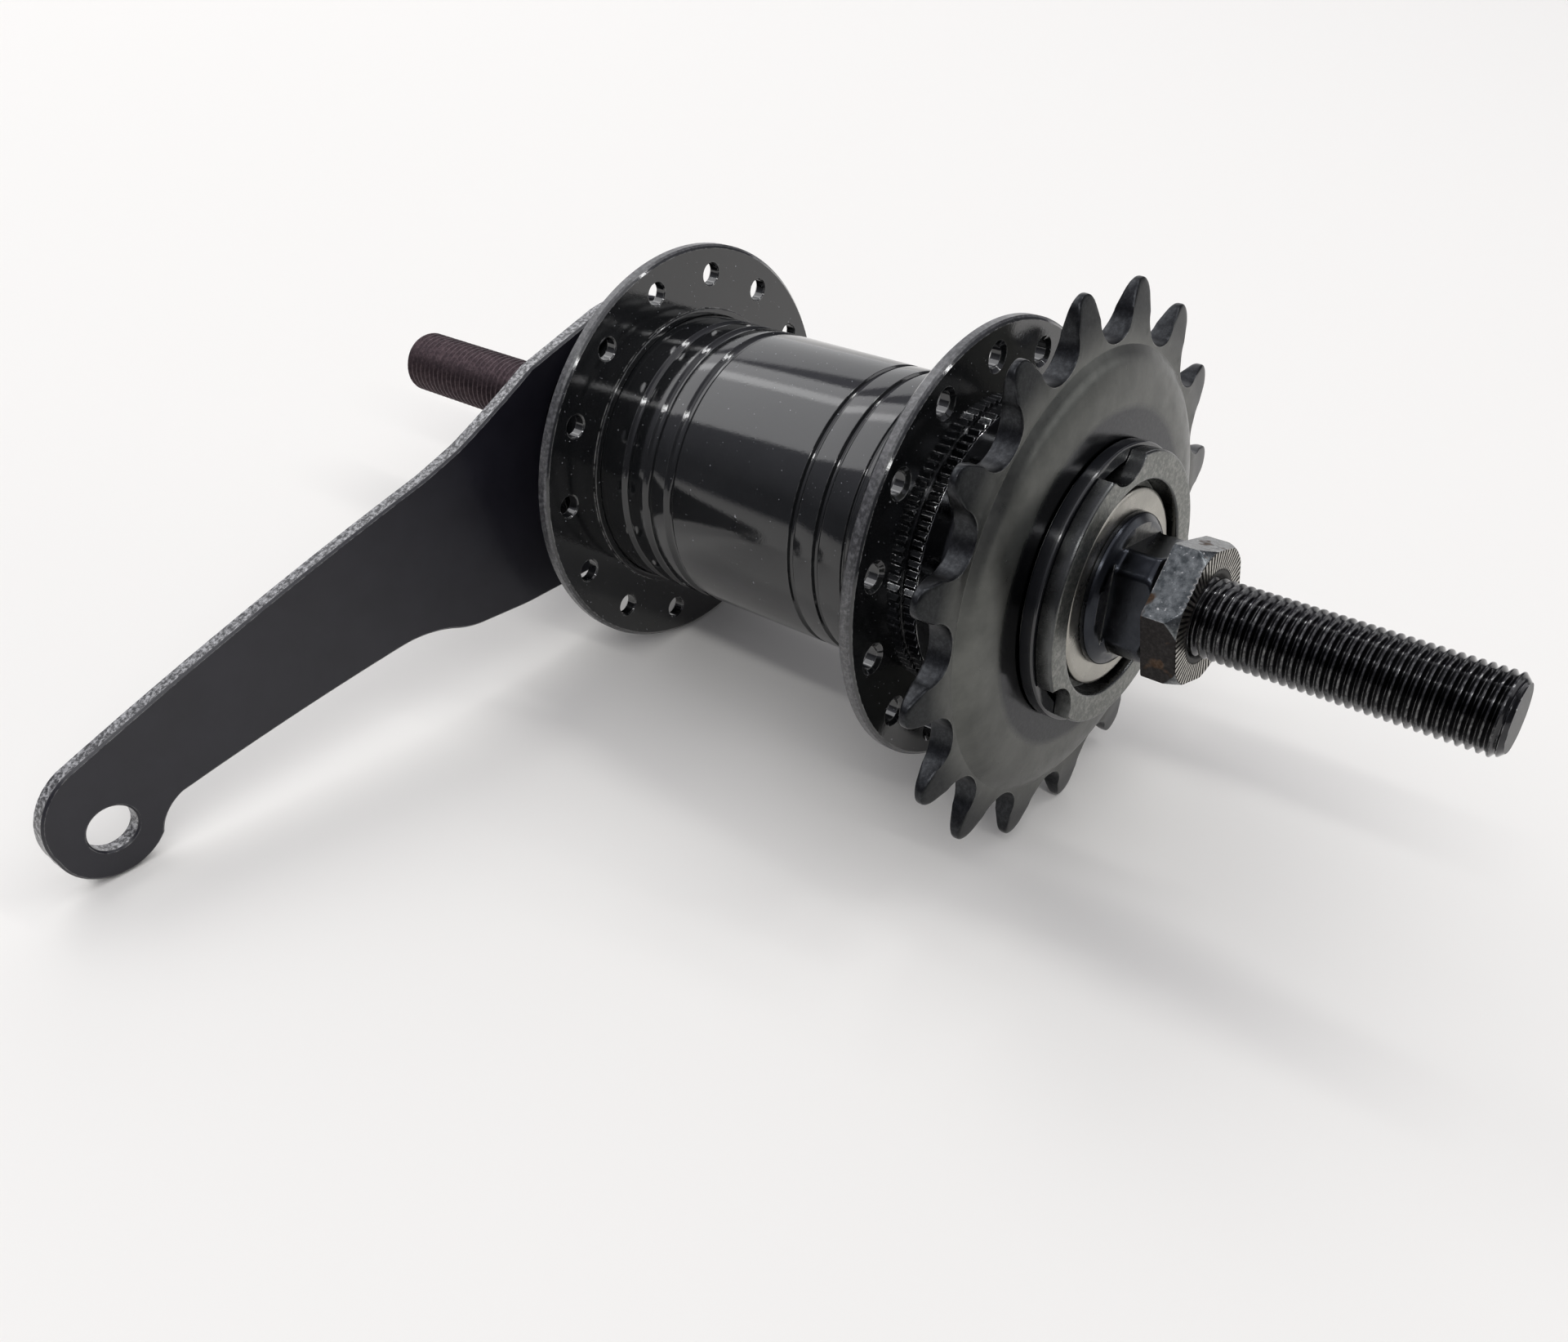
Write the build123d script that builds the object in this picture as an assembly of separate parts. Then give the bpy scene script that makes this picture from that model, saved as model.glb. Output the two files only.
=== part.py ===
from build123d import *
from collections import namedtuple
from math import cos, pi, radians, sin, tan
import os

# Rear hub with a back-pedal brake inside its shell.
# Millimetres. The axle lies along Y with the drive side at +Y, and +Z is up.
# The origin is on the axle, halfway between the outer faces of the two locknuts.
# Angles about the axle are counted from +X towards +Z, in degrees.

# Driving sizes of the axle and its ends. Threads are plain here: at their full diameter
# where they stand free, and at their pitch diameter where a nut or cone is screwed on.
over_locknuts = 100.0
axle_diameter = 9.52
axle_pitch_diameter = 8.84
free_thread_setback = 0.5
axle_left_stub = 39.1
axle_right_stub = 34.2
axle_end_chamfer = 0.9
thread_clearance = 0.05

# Clearances shared by mating pieces
press_gap = 0.02
running_gap = 0.3
ball_gap = 0.1
key_gap = 0.1

# How far a cutting shape runs past what it cuts
cut_margin = 1.0

# Locknuts and washer
nut_across_flats = 16.0
nut_thickness = 4.4
nut_face_radius = 8.6
nut_face_bevel = 1.1
nut_mouth_radius = 5.2
drive_nut_corner_angle = 22.5
arm_nut_corner_angle = 5.0
arm_washer_radius = 10.5
arm_washer_thickness = 1.3

# Shell barrel
barrel_radius = 19.0
barrel_wall = 2.6
shell_left_flange_y = -29.8
flange_spacing = 47.66
left_seat_step = 1.0
right_seat_step = 1.5
left_end_length = 10.7
right_end_length = 6.14
right_cup_wall = 1.9
right_cup_seat_depth = 8.2
groove_width = 0.9
groove_depth = 0.35
grooves_from_left_flange = (5.2, 9.0, 12.8)
grooves_from_right_flange = (6.5, 10.6, 14.4)

# Spoke flanges
flange_radius = 28.5
flange_thickness = 1.98
flange_rim_bevel = 0.5
spoke_count = 14
spoke_circle_radius = 24.5
spoke_hole_radius = 1.5
spoke_countersink = 0.5
left_spoke_angle = 5.87
right_spoke_angle = 18.76
collar_width = 0.9
collar_thickness = 0.45

# Ball bearings
shell_ball_radius = 3.175
driver_ball_radius = 2.381
balls_per_bearing = 7
left_race_wall = 1.525
right_race_wall = 1.125
driver_ball_circle_radius = 9.0
left_bearing_inset = 4.5
right_bearing_inset = 3.2
driver_bearing_inset = 6.1
race_lip_share = 0.44
cup_depth_share = 1.4
cage_rim_offset_share = 0.75
cage_rim_reach_share = 0.7
cage_rim_thickness = 0.9
cage_finger_width = 1.2

# Knurled collar and dust caps
knurl_height = 1.3
knurl_lip_thickness = 1.1
knurl_lip_overhang = 0.6
knurl_bevel = 0.4
left_cup_inset = 1.0
left_cap_thickness = 0.8
left_cap_skirt = 3.0
driver_cap_radius = 17.2
driver_cap_thickness = 0.8
driver_cap_rim = 1.4
dust_disc_radius = 12.25
dust_disc_thickness = 1.0

# Brake arm, drawn from the axle towards the hole in its tip
arm_thickness = 2.3
arm_angle = -10.95
arm_hub_radius = 19.3
arm_bend_reach = 28.0
arm_bend_angle = 7.2
arm_bend_radius = 14.0
arm_hole_reach = 89.7
arm_hole_radius = 3.15
arm_eye_radius = 6.9
arm_tip_overhang = 7.2

# Keyed boss of the brake cone and the flats of the drive cone
boss_across_flats = 13.0
boss_corner_radius = 8.0
boss_short_of_arm = 0.2
boss_angle = arm_angle
cone_flats_angle = 14.8

# Brake cone, expander, shoes and clutch cone
brake_cone_shoulder_radius = 11.2
brake_cone_shoulder_length = 2.1
brake_cone_neck_length = 6.0
brake_cone_key_length = 5.5
brake_key_across_flats = 13.0
expander_setback = 1.1
expander_length = 8.9
expander_large_radius = 11.7
expander_lug_drum_gap = 1.2
expander_lug_width = 4.4
wedge_slope = 0.2
shoe_setback = 2.4
shoe_length = 25.5
shoe_drum_gap = 0.5
shoe_middle_radius = 9.0
shoe_wedge_gap = 0.4
shoe_half_slot = 2.6
shoe_groove_count = 2
shoe_groove_width = 1.4
shoe_groove_depth = 0.6
clutch_nose_in_shoes = 7.0
clutch_nose_radius = 9.6
clutch_travel = 2.0
clutch_flange_thickness = 0.9
drive_ring_length = 10.0
drive_ring_wall = 1.5
spring_groove_setback = 9.0
spring_groove_floor_radius = 10.2
spring_band_width = 1.6
spring_band_thickness = 0.8
spring_opening_angle = 24.0
spring_leg_length = 6.3

# Driver
screw_in_clutch = 4.0
screw_radius = 7.4
driver_bore_radius = 5.3
driver_rim_radius = 16.9
driver_rim_length = 2.05
driver_bevel = 0.5
driver_mouth_radius = 13.4
driver_mouth_depth = 2.7
driver_shoulder_radius = 19.0
driver_shoulder_thickness = 2.0
driver_cap_seat_gap = 0.9
driver_web_radius = 13.4
notch_count = 3
notch_angle = 89.3
notch_circle_radius = 19.0
notch_radius = 4.5

# Snap ring
snap_ring_outer_radius = 17.4
snap_ring_thickness = 1.8
snap_ring_groove_radius = 15.4
snap_ring_play = 0.1
snap_ring_opening_angle = 209.3
snap_ring_opening = 5.0

# Sprocket
chain_pitch = 12.7
sprocket_teeth = 16
roller_seat_radius = 3.95
roller_seat_inset = 0.3
tooth_throat_inset = 0.6
tooth_tip_radius = 35.3
tooth_tip_width = 2.3
tooth_tip_thickness = 1.5
tooth_bevel_start_radius = 30.6
tooth_angle = 0.66
sprocket_thickness = 3.0
chain_line_y = 31.8
sprocket_dish = 1.9
sprocket_boss_bevel = 0.5
rim_foot_radius = 28.0
rim_crest_radius = 25.1
rim_crest_height = 0.95
rim_crest_round = 3.8
web_back_radius = 23.5

# Drive cone
drive_cone_nose_length = 3.8
cone_nose_room = 1.2
drive_cone_flange_radius = 9.5
drive_cone_flange_thickness = 1.8
dust_disc_inset = 0.7

# Radii worked out from the driving sizes
drum_radius = barrel_radius - barrel_wall
left_seat_radius = barrel_radius - left_seat_step
right_seat_radius = barrel_radius - right_seat_step
right_cup_seat_radius = right_seat_radius - right_cup_wall
left_ball_circle_radius = drum_radius - left_race_wall - ball_gap - shell_ball_radius
right_ball_circle_radius = right_cup_seat_radius - right_race_wall - ball_gap - shell_ball_radius
collar_radius = barrel_radius + collar_width
knurl_radius = right_seat_radius + knurl_height
knurl_lip_radius = right_cup_seat_radius - knurl_lip_overhang
expander_lug_radius = drum_radius - expander_lug_drum_gap
shoe_radius = drum_radius - shoe_drum_gap
drive_ring_large_radius = drum_radius - drive_ring_wall

# Places along the axle, worked out from the driving sizes
axle_radius = axle_diameter / 2
axle_left_y = -over_locknuts / 2 - axle_left_stub
axle_right_y = over_locknuts / 2 + axle_right_stub
axle_pitch_radius = axle_pitch_diameter / 2
free_thread_y = over_locknuts / 2 + free_thread_setback
screwed_bore_radius = axle_pitch_radius + thread_clearance
sliding_bore_radius = axle_radius + running_gap
drive_nut_seat_y = over_locknuts / 2 - nut_thickness
arm_nut_seat_y = -over_locknuts / 2 + nut_thickness
arm_outer_face_y = arm_nut_seat_y + arm_washer_thickness
arm_inner_face_y = arm_outer_face_y + arm_thickness

shell_right_flange_y = shell_left_flange_y + flange_spacing
barrel_left_y = shell_left_flange_y - left_end_length
barrel_right_y = shell_right_flange_y + right_end_length
left_flange_outer_y = shell_left_flange_y - flange_thickness
right_flange_outer_y = shell_right_flange_y + flange_thickness
right_cup_seat_y = barrel_right_y - right_cup_seat_depth

tooth_plate_back_y = chain_line_y - sprocket_thickness / 2
tooth_plate_front_y = chain_line_y + sprocket_thickness / 2
sprocket_boss_back_y = tooth_plate_back_y + sprocket_dish
sprocket_boss_front_y = sprocket_boss_back_y + sprocket_thickness
snap_groove_back_y = sprocket_boss_front_y + press_gap
snap_ring_back_y = snap_groove_back_y + snap_ring_play
snap_ring_front_y = snap_ring_back_y + snap_ring_thickness
snap_groove_front_y = snap_ring_front_y + snap_ring_play
driver_face_y = snap_groove_front_y + driver_rim_length
dust_disc_face_y = driver_face_y - dust_disc_inset
knurl_lip_end_y = barrel_right_y + knurl_lip_thickness
driver_cap_seat_y = knurl_lip_end_y + driver_cap_seat_gap
chain_circle_radius = chain_pitch / 2 / sin(pi / sprocket_teeth)

# The three ball bearings; open_side is +1 where the balls are fitted from the drive side
Bearing = namedtuple("Bearing", "ball_radius circle_radius y open_side")
left_bearing = Bearing(shell_ball_radius, left_ball_circle_radius,
                       barrel_left_y + left_bearing_inset, -1)
right_bearing = Bearing(shell_ball_radius, right_ball_circle_radius,
                        barrel_right_y - right_bearing_inset, 1)
driver_bearing = Bearing(driver_ball_radius, driver_ball_circle_radius,
                         driver_face_y - driver_bearing_inset, 1)

# Places inside the shell, from the bearings inwards
brake_cone_neck_end_y = left_bearing.y + brake_cone_neck_length
brake_cone_key_end_y = brake_cone_neck_end_y + brake_cone_key_length
expander_left_y = brake_cone_neck_end_y + expander_setback
expander_right_y = expander_left_y + expander_length
shoe_left_y = expander_left_y + shoe_setback
shoe_right_y = shoe_left_y + shoe_length
clutch_left_y = shoe_right_y - clutch_nose_in_shoes
screw_end_y = clutch_left_y + screw_in_clutch
spring_groove_left_y = clutch_left_y + spring_groove_setback
drive_ring_right_y = right_cup_seat_y - running_gap
drive_ring_left_y = drive_ring_right_y - drive_ring_length
clutch_right_y = drive_ring_right_y - 2 * running_gap
clutch_flange_left_y = drive_ring_left_y - clutch_flange_thickness
drive_cone_nose_y = driver_bearing.y - drive_cone_nose_length


# Tools shared by the pieces

def turned(corners):
    """A solid turned about the axle from corners given as (radius, y)."""
    return revolve(make_face(Polyline(*corners, close=True)), Axis.Y)


def ring(inner_radius, outer_radius, y_low, y_high):
    return turned([(inner_radius, y_low), (outer_radius, y_low),
                   (outer_radius, y_high), (inner_radius, y_high)])


def disc(radius, y_low, y_high):
    return ring(0, radius, y_low, y_high)


def plate(face, y_low, y_high):
    """A face drawn in x and z, thickened along the axle."""
    return Pos(0, y_high, 0) * extrude(Plane.XZ * face, y_high - y_low)


def around(angle):
    """A turn about the axle, from +X towards +Z."""
    return Rot(0, -angle, 0)


def repeated(piece, count, first_angle):
    return [around(first_angle + i * 360 / count) * piece for i in range(count)]


def rounded_square(across_flats, corner_radius, y_low, y_high):
    return plate(Rectangle(across_flats, across_flats), y_low, y_high) & disc(corner_radius, y_low, y_high)


# Ball bearings

def race_radius(bearing):
    return bearing.ball_radius + ball_gap


def race_cut(bearing):
    """The ring of space that the balls run in."""
    return Pos(0, bearing.y, 0) * Rot(90, 0, 0) * Torus(bearing.circle_radius, race_radius(bearing))


def cone_neck_radius(bearing):
    return bearing.circle_radius - race_radius(bearing)


def cone_shoulder_radius(bearing):
    return bearing.circle_radius - race_lip_share * bearing.ball_radius


def cup_mouth_radius(bearing):
    return bearing.circle_radius + race_radius(bearing)


def cup_lip_radius(bearing):
    return bearing.circle_radius + race_lip_share * bearing.ball_radius


def cup(bearing, outer_radius, y_open, y_closed):
    """A ball cup: a mouth on the open side and a curved race towards the other."""
    blank = turned([(cup_mouth_radius(bearing), y_open), (outer_radius, y_open), (outer_radius, y_closed),
                    (cup_lip_radius(bearing), y_closed), (cup_lip_radius(bearing), bearing.y),
                    (cup_mouth_radius(bearing), bearing.y)])
    return blank - race_cut(bearing)


def ball_set(bearing):
    ball = Pos(bearing.circle_radius, bearing.y, 0) * Sphere(bearing.ball_radius)
    return Compound(children=repeated(ball, balls_per_bearing, 0))


def cage(bearing):
    """A pressed retainer: a rim on the open side, with a finger between each two balls."""
    rim_start = bearing.y + bearing.open_side * cage_rim_offset_share * bearing.ball_radius
    rim_end = rim_start + bearing.open_side * cage_rim_thickness
    rim_inside = bearing.circle_radius + cage_rim_reach_share * bearing.ball_radius
    rim_outside = cup_mouth_radius(bearing) - 2 * ball_gap
    rim = ring(rim_inside, rim_outside, min(rim_start, rim_end), max(rim_start, rim_end))
    finger_inside = bearing.circle_radius - cage_rim_thickness / 2
    finger_face = Rectangle(rim_outside - finger_inside, cage_finger_width)
    finger_face = Pos((finger_inside + rim_outside) / 2, 0) * finger_face
    finger_low = min(bearing.y, rim_end)
    finger_high = max(bearing.y, rim_end)
    finger = plate(finger_face, finger_low, finger_high) & disc(rim_outside, finger_low, finger_high)
    return rim + repeated(finger, balls_per_bearing, 180 / balls_per_bearing)


# Axle, nuts and washer

def axle():
    tip_radius = axle_radius - axle_end_chamfer
    return turned([(0, axle_left_y), (tip_radius, axle_left_y),
                   (axle_radius, axle_left_y + axle_end_chamfer), (axle_radius, -free_thread_y),
                   (axle_pitch_radius, -free_thread_y), (axle_pitch_radius, free_thread_y),
                   (axle_radius, free_thread_y), (axle_radius, axle_right_y - axle_end_chamfer),
                   (tip_radius, axle_right_y), (0, axle_right_y)])


def locknut(corner_angle):
    """A hexagon from y = 0 on its seat to its bevelled outer face."""
    corner_radius = nut_across_flats / 2 / cos(radians(30))
    hexagon = plate(RegularPolygon(corner_radius, 6), 0, nut_thickness)
    bevel_y = nut_thickness - nut_face_bevel
    envelope = turned([(0, 0), (corner_radius, 0), (corner_radius, bevel_y),
                       (nut_face_radius, nut_thickness), (0, nut_thickness)])
    bore = disc(screwed_bore_radius, 0, nut_thickness)
    mouth = turned([(0, nut_thickness), (nut_mouth_radius, nut_thickness),
                    (0, nut_thickness - nut_mouth_radius)])
    return around(corner_angle) * (hexagon & envelope) - bore - mouth


def drive_locknut():
    return Pos(0, drive_nut_seat_y, 0) * locknut(drive_nut_corner_angle)


def arm_locknut():
    return Pos(0, arm_nut_seat_y, 0) * Rot(180, 0, 0) * locknut(arm_nut_corner_angle)


def arm_washer():
    return ring(sliding_bore_radius, arm_washer_radius, arm_nut_seat_y, arm_outer_face_y)


# Brake arm

def arm_outline():
    """The arm's flat outline in x and z, with the hole of its tip on the x axis."""
    hub_top = (0, arm_hub_radius)
    shoulder = (13.0, arm_hub_radius - 0.1)
    waist = (34.5, 15.6)
    tip_start = (arm_hole_reach + 0.7, 10.3)
    tip_end = (arm_hole_reach + arm_tip_overhang, 0.6)
    eye_end = (arm_hole_reach + arm_eye_radius * cos(radians(-130)), arm_eye_radius * sin(radians(-130)))
    heel = (arm_hole_reach - 9.0, -1.9)
    step_top = (47.5, -4.4)
    step_middle = (39.2, -7.7)
    step_foot = (35.0, -9.8)
    lower_edge_slope = radians(15.3)
    hub_low = (arm_hub_radius * sin(lower_edge_slope), -arm_hub_radius * cos(lower_edge_slope))
    edge = Line(hub_top, shoulder)
    edge += ThreePointArc(shoulder, (22.2, 17.4), waist)
    edge += ThreePointArc(waist, (66.0, 13.3), tip_start)
    edge += ThreePointArc(tip_start, (arm_hole_reach + 5.7, 6.8), tip_end)
    edge += ThreePointArc(tip_end, (arm_hole_reach + 2.4, -arm_eye_radius + 0.3), eye_end)
    edge += ThreePointArc(eye_end, (arm_hole_reach - 6.5, -2.9), heel)
    edge += ThreePointArc(heel, (64.5, -2.8), step_top)
    edge += ThreePointArc(step_top, (42.6, -5.7), step_middle)
    edge += ThreePointArc(step_middle, (37.3, -8.9), step_foot)
    edge += Line(step_foot, hub_low)
    edge += ThreePointArc(hub_low, (-arm_hub_radius, 0), hub_top)
    return make_face(edge)


def bend_corners(face):
    """The strip's corners at its bend, from the outboard one to the inboard one."""
    corners = face.vertices().filter_by(lambda v: abs(v.X - arm_bend_reach) < arm_thickness)
    return corners.sort_by(Axis.Y)


def bent_strip():
    """The arm's thickness seen from its edge: flat at the hub, then bent outboard."""
    half_turn = tan(radians(arm_bend_angle / 2))
    reach = arm_hole_reach + 2 * arm_tip_overhang
    back = arm_hub_radius + cut_margin
    drop = (reach - arm_bend_reach) * tan(radians(arm_bend_angle))
    slant = arm_thickness / cos(radians(arm_bend_angle))
    corners = Polyline((-back, arm_inner_face_y), (arm_bend_reach, arm_inner_face_y),
                       (reach, arm_inner_face_y - drop), (reach, arm_inner_face_y - drop - slant),
                       (arm_bend_reach - arm_thickness * half_turn, arm_outer_face_y),
                       (-back, arm_outer_face_y), close=True)
    face = make_face(corners)
    face = fillet(bend_corners(face)[-1], arm_bend_radius + arm_thickness)
    face = fillet(bend_corners(face)[0], arm_bend_radius)
    return extrude(face, 2 * arm_hub_radius, both=True)


def arm_hole_y():
    """The middle of the bent plate at the hole in the arm's tip."""
    drop = (arm_hole_reach - arm_bend_reach) * tan(radians(arm_bend_angle))
    return arm_inner_face_y - drop - arm_thickness / 2 / cos(radians(arm_bend_angle))


def brake_arm():
    lowest_y = 2 * arm_outer_face_y
    arm = bent_strip() & plate(arm_outline(), lowest_y, arm_inner_face_y)
    key_hole = rounded_square(boss_across_flats + 2 * key_gap, boss_corner_radius + key_gap,
                              arm_outer_face_y, arm_inner_face_y)
    tip_hole = Pos(arm_hole_reach, arm_hole_y(), 0) * Rot(0, 0, -arm_bend_angle)
    tip_hole = tip_hole * disc(arm_hole_radius, -2 * arm_thickness, 2 * arm_thickness)
    return around(arm_angle) * (arm - key_hole - tip_hole)


# Brake cone and expander, which stand still with the arm

def double_flat(radius, across_flats, y_low, y_high):
    return disc(radius, y_low, y_high) & plate(Rectangle(4 * radius, across_flats), y_low, y_high)


def brake_cone():
    shoulder_end_y = arm_inner_face_y + brake_cone_shoulder_length
    neck = cone_neck_radius(left_bearing)
    body = turned([(0, arm_inner_face_y), (brake_cone_shoulder_radius, arm_inner_face_y),
                   (brake_cone_shoulder_radius, shoulder_end_y),
                   (cone_shoulder_radius(left_bearing), shoulder_end_y),
                   (cone_shoulder_radius(left_bearing), left_bearing.y), (neck, left_bearing.y),
                   (neck, brake_cone_neck_end_y), (0, brake_cone_neck_end_y)])
    boss = around(boss_angle) * rounded_square(boss_across_flats, boss_corner_radius,
                                               arm_outer_face_y + boss_short_of_arm, arm_inner_face_y)
    key = double_flat(neck, brake_key_across_flats, brake_cone_neck_end_y, brake_cone_key_end_y)
    bore = disc(screwed_bore_radius, axle_left_y, brake_cone_key_end_y)
    return body - race_cut(left_bearing) + boss + key - bore


def expander_radius(y):
    return expander_large_radius - wedge_slope * (y - expander_left_y)


def shoe_expander():
    """A fixed wedge with two lugs, which keep the shoes from turning."""
    wedge = turned([(0, expander_left_y), (expander_large_radius, expander_left_y),
                    (expander_radius(expander_right_y), expander_right_y), (0, expander_right_y)])
    lugs = plate(Rectangle(2 * expander_lug_radius, expander_lug_width), shoe_left_y, expander_right_y)
    lugs = lugs & disc(expander_lug_radius, shoe_left_y, expander_right_y)
    key_radius = cone_neck_radius(left_bearing) + key_gap
    key_hole = double_flat(key_radius, brake_key_across_flats + 2 * key_gap, expander_left_y,
                           brake_cone_key_end_y + key_gap)
    return wedge + lugs - key_hole - disc(sliding_bore_radius, expander_left_y, expander_right_y)


# Shell

def barrel():
    """The turned tube whose bore is the brake drum, with a seat for each flange."""
    outside = [(drum_radius, barrel_left_y), (left_seat_radius, barrel_left_y),
               (left_seat_radius, shell_left_flange_y), (barrel_radius, shell_left_flange_y),
               (barrel_radius, shell_right_flange_y), (right_seat_radius, shell_right_flange_y),
               (right_seat_radius, barrel_right_y)]
    inside = [(right_cup_seat_radius, barrel_right_y), (right_cup_seat_radius, right_cup_seat_y),
              (drum_radius, right_cup_seat_y)]
    tube = turned(outside + inside)
    floor = barrel_radius - groove_depth
    groove_ys = [shell_left_flange_y + reach for reach in grooves_from_left_flange]
    groove_ys += [shell_right_flange_y - reach for reach in grooves_from_right_flange]
    grooves = [turned([(floor, y), (barrel_radius, y - groove_width / 2),
                       (barrel_radius + cut_margin, y), (barrel_radius, y + groove_width / 2)])
               for y in groove_ys]
    return tube - grooves


def spoke_hole(outer_y, inner_y):
    """A spoke hole through a flange, countersunk at the flange's outer face."""
    inwards = (inner_y - outer_y) / flange_thickness
    start_y = outer_y - inwards * cut_margin
    end_y = inner_y + inwards * cut_margin
    return turned([(0, start_y), (spoke_hole_radius + spoke_countersink + cut_margin, start_y),
                   (spoke_hole_radius, outer_y + inwards * spoke_countersink),
                   (spoke_hole_radius, end_y), (0, end_y)])


def flange(bore_radius, outer_y, inner_y, first_angle):
    """A flat disc with bevelled rims and a circle of spoke holes."""
    bevel = flange_rim_bevel * (inner_y - outer_y) / flange_thickness
    disc_blank = turned([(bore_radius, outer_y), (flange_radius - flange_rim_bevel, outer_y),
                         (flange_radius, outer_y + bevel), (flange_radius, inner_y - bevel),
                         (flange_radius - flange_rim_bevel, inner_y), (bore_radius, inner_y)])
    hole = Pos(spoke_circle_radius, 0, 0) * spoke_hole(outer_y, inner_y)
    return disc_blank - repeated(hole, spoke_count, first_angle)


def left_flange():
    collar = ring(barrel_radius + press_gap, collar_radius, shell_left_flange_y - press_gap,
                  shell_left_flange_y + collar_thickness)
    bore_radius = left_seat_radius + press_gap
    return flange(bore_radius, left_flange_outer_y, shell_left_flange_y, left_spoke_angle) + collar


def right_flange():
    bore_radius = right_seat_radius + press_gap
    return flange(bore_radius, right_flange_outer_y, shell_right_flange_y, right_spoke_angle)


def left_cup():
    depth = left_bearing.ball_radius * cup_depth_share
    mouth_y = barrel_left_y + left_cup_inset
    return cup(left_bearing, drum_radius - press_gap, mouth_y, left_bearing.y + depth)


def right_cup():
    depth = right_bearing.ball_radius * cup_depth_share
    return cup(right_bearing, right_cup_seat_radius - press_gap, barrel_right_y, right_bearing.y - depth)


def left_dust_cap():
    """A pressed cap over the shell's left end, with a skirt round it."""
    skirt_radius = left_seat_radius + press_gap
    outer_radius = skirt_radius + left_cap_thickness
    hole_radius = brake_cone_shoulder_radius + 2 * running_gap
    face_y = barrel_left_y - left_cap_thickness
    return turned([(hole_radius, face_y), (outer_radius - left_cap_thickness / 2, face_y),
                   (outer_radius, face_y + left_cap_thickness / 2),
                   (outer_radius, barrel_left_y + left_cap_skirt),
                   (skirt_radius, barrel_left_y + left_cap_skirt), (skirt_radius, barrel_left_y),
                   (hole_radius, barrel_left_y)])


def knurled_collar():
    """A collar pressed on the shell's drive end, whose lip shields the large bearing."""
    bore_radius = right_seat_radius + press_gap
    return turned([(bore_radius, right_flange_outer_y), (knurl_radius, right_flange_outer_y),
                   (knurl_radius, knurl_lip_end_y - knurl_bevel),
                   (knurl_radius - knurl_bevel, knurl_lip_end_y),
                   (knurl_lip_radius, knurl_lip_end_y), (knurl_lip_radius, barrel_right_y),
                   (bore_radius, barrel_right_y)])


def drive_ring_radius(y):
    return drive_ring_large_radius - wedge_slope * (y - drive_ring_left_y)


def drive_ring():
    """The hard ring in the shell that the clutch cone wedges into when it drives."""
    outer_radius = drum_radius - press_gap
    return turned([(drive_ring_large_radius, drive_ring_left_y), (outer_radius, drive_ring_left_y),
                   (outer_radius, drive_ring_right_y),
                   (drive_ring_radius(drive_ring_right_y), drive_ring_right_y)])


# Clutch cone, drag spring and brake shoes

def nose_radius(y):
    return clutch_nose_radius + wedge_slope * (y - clutch_left_y)


def clutch_cone():
    """At rest the cone is at its driving end, just clear of the ring in the shell."""
    spring_room = spring_band_width + 2 * running_gap
    groove_right_y = spring_groove_left_y + spring_room
    bore = screw_radius + running_gap
    cone_flange_radius = drive_ring_radius(drive_ring_left_y) - running_gap
    return turned([(bore, clutch_left_y), (clutch_nose_radius, clutch_left_y),
                   (nose_radius(spring_groove_left_y), spring_groove_left_y),
                   (spring_groove_floor_radius, spring_groove_left_y),
                   (spring_groove_floor_radius, groove_right_y),
                   (nose_radius(groove_right_y), groove_right_y),
                   (nose_radius(groove_right_y), clutch_flange_left_y),
                   (cone_flange_radius, clutch_flange_left_y), (cone_flange_radius, drive_ring_left_y),
                   (drive_ring_radius(clutch_right_y) - running_gap, clutch_right_y),
                   (bore, clutch_right_y)])


def drag_spring():
    """An open flat band in the cone's groove, with a leg in the slot between the shoes."""
    band_y = spring_groove_left_y + running_gap
    inner_radius = spring_groove_floor_radius + running_gap
    leg_inner_radius = nose_radius(spring_groove_left_y) + running_gap
    leg_outer_radius = leg_inner_radius + spring_band_thickness
    band = ring(inner_radius, inner_radius + spring_band_thickness, band_y, band_y + spring_band_width)
    opening = radians(spring_opening_angle)
    reach = 2 * inner_radius
    far_corner = (reach * cos(opening), reach * sin(opening))
    wedge = make_face(Polyline((0, 0), (reach, 0), far_corner, close=True))
    band -= plate(wedge, band_y, band_y + spring_band_width)
    step_face = Rectangle(leg_outer_radius - inner_radius, spring_band_width)
    step_face = Pos((inner_radius + leg_outer_radius) / 2, -spring_band_width / 2) * step_face
    leg_face = Rectangle(spring_band_thickness, spring_band_width)
    leg_face = Pos((leg_inner_radius + leg_outer_radius) / 2, -spring_band_width / 2) * leg_face
    step = plate(step_face, band_y, band_y + spring_band_width)
    return band + step + plate(leg_face, band_y - spring_leg_length, band_y)


def shoe_bore():
    """The space inside the pair of shoes: a wedge at each end and a round middle."""
    left_wedge_end_y = expander_right_y + 2 * running_gap
    right_wedge_end_y = clutch_left_y - clutch_travel - 2 * running_gap
    return turned([(0, shoe_left_y), (expander_radius(shoe_left_y) + shoe_wedge_gap, shoe_left_y),
                   (expander_radius(left_wedge_end_y) + shoe_wedge_gap, left_wedge_end_y),
                   (shoe_middle_radius, left_wedge_end_y), (shoe_middle_radius, right_wedge_end_y),
                   (nose_radius(right_wedge_end_y) + shoe_wedge_gap, right_wedge_end_y),
                   (nose_radius(shoe_right_y) + shoe_wedge_gap, shoe_right_y), (0, shoe_right_y)])


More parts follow.
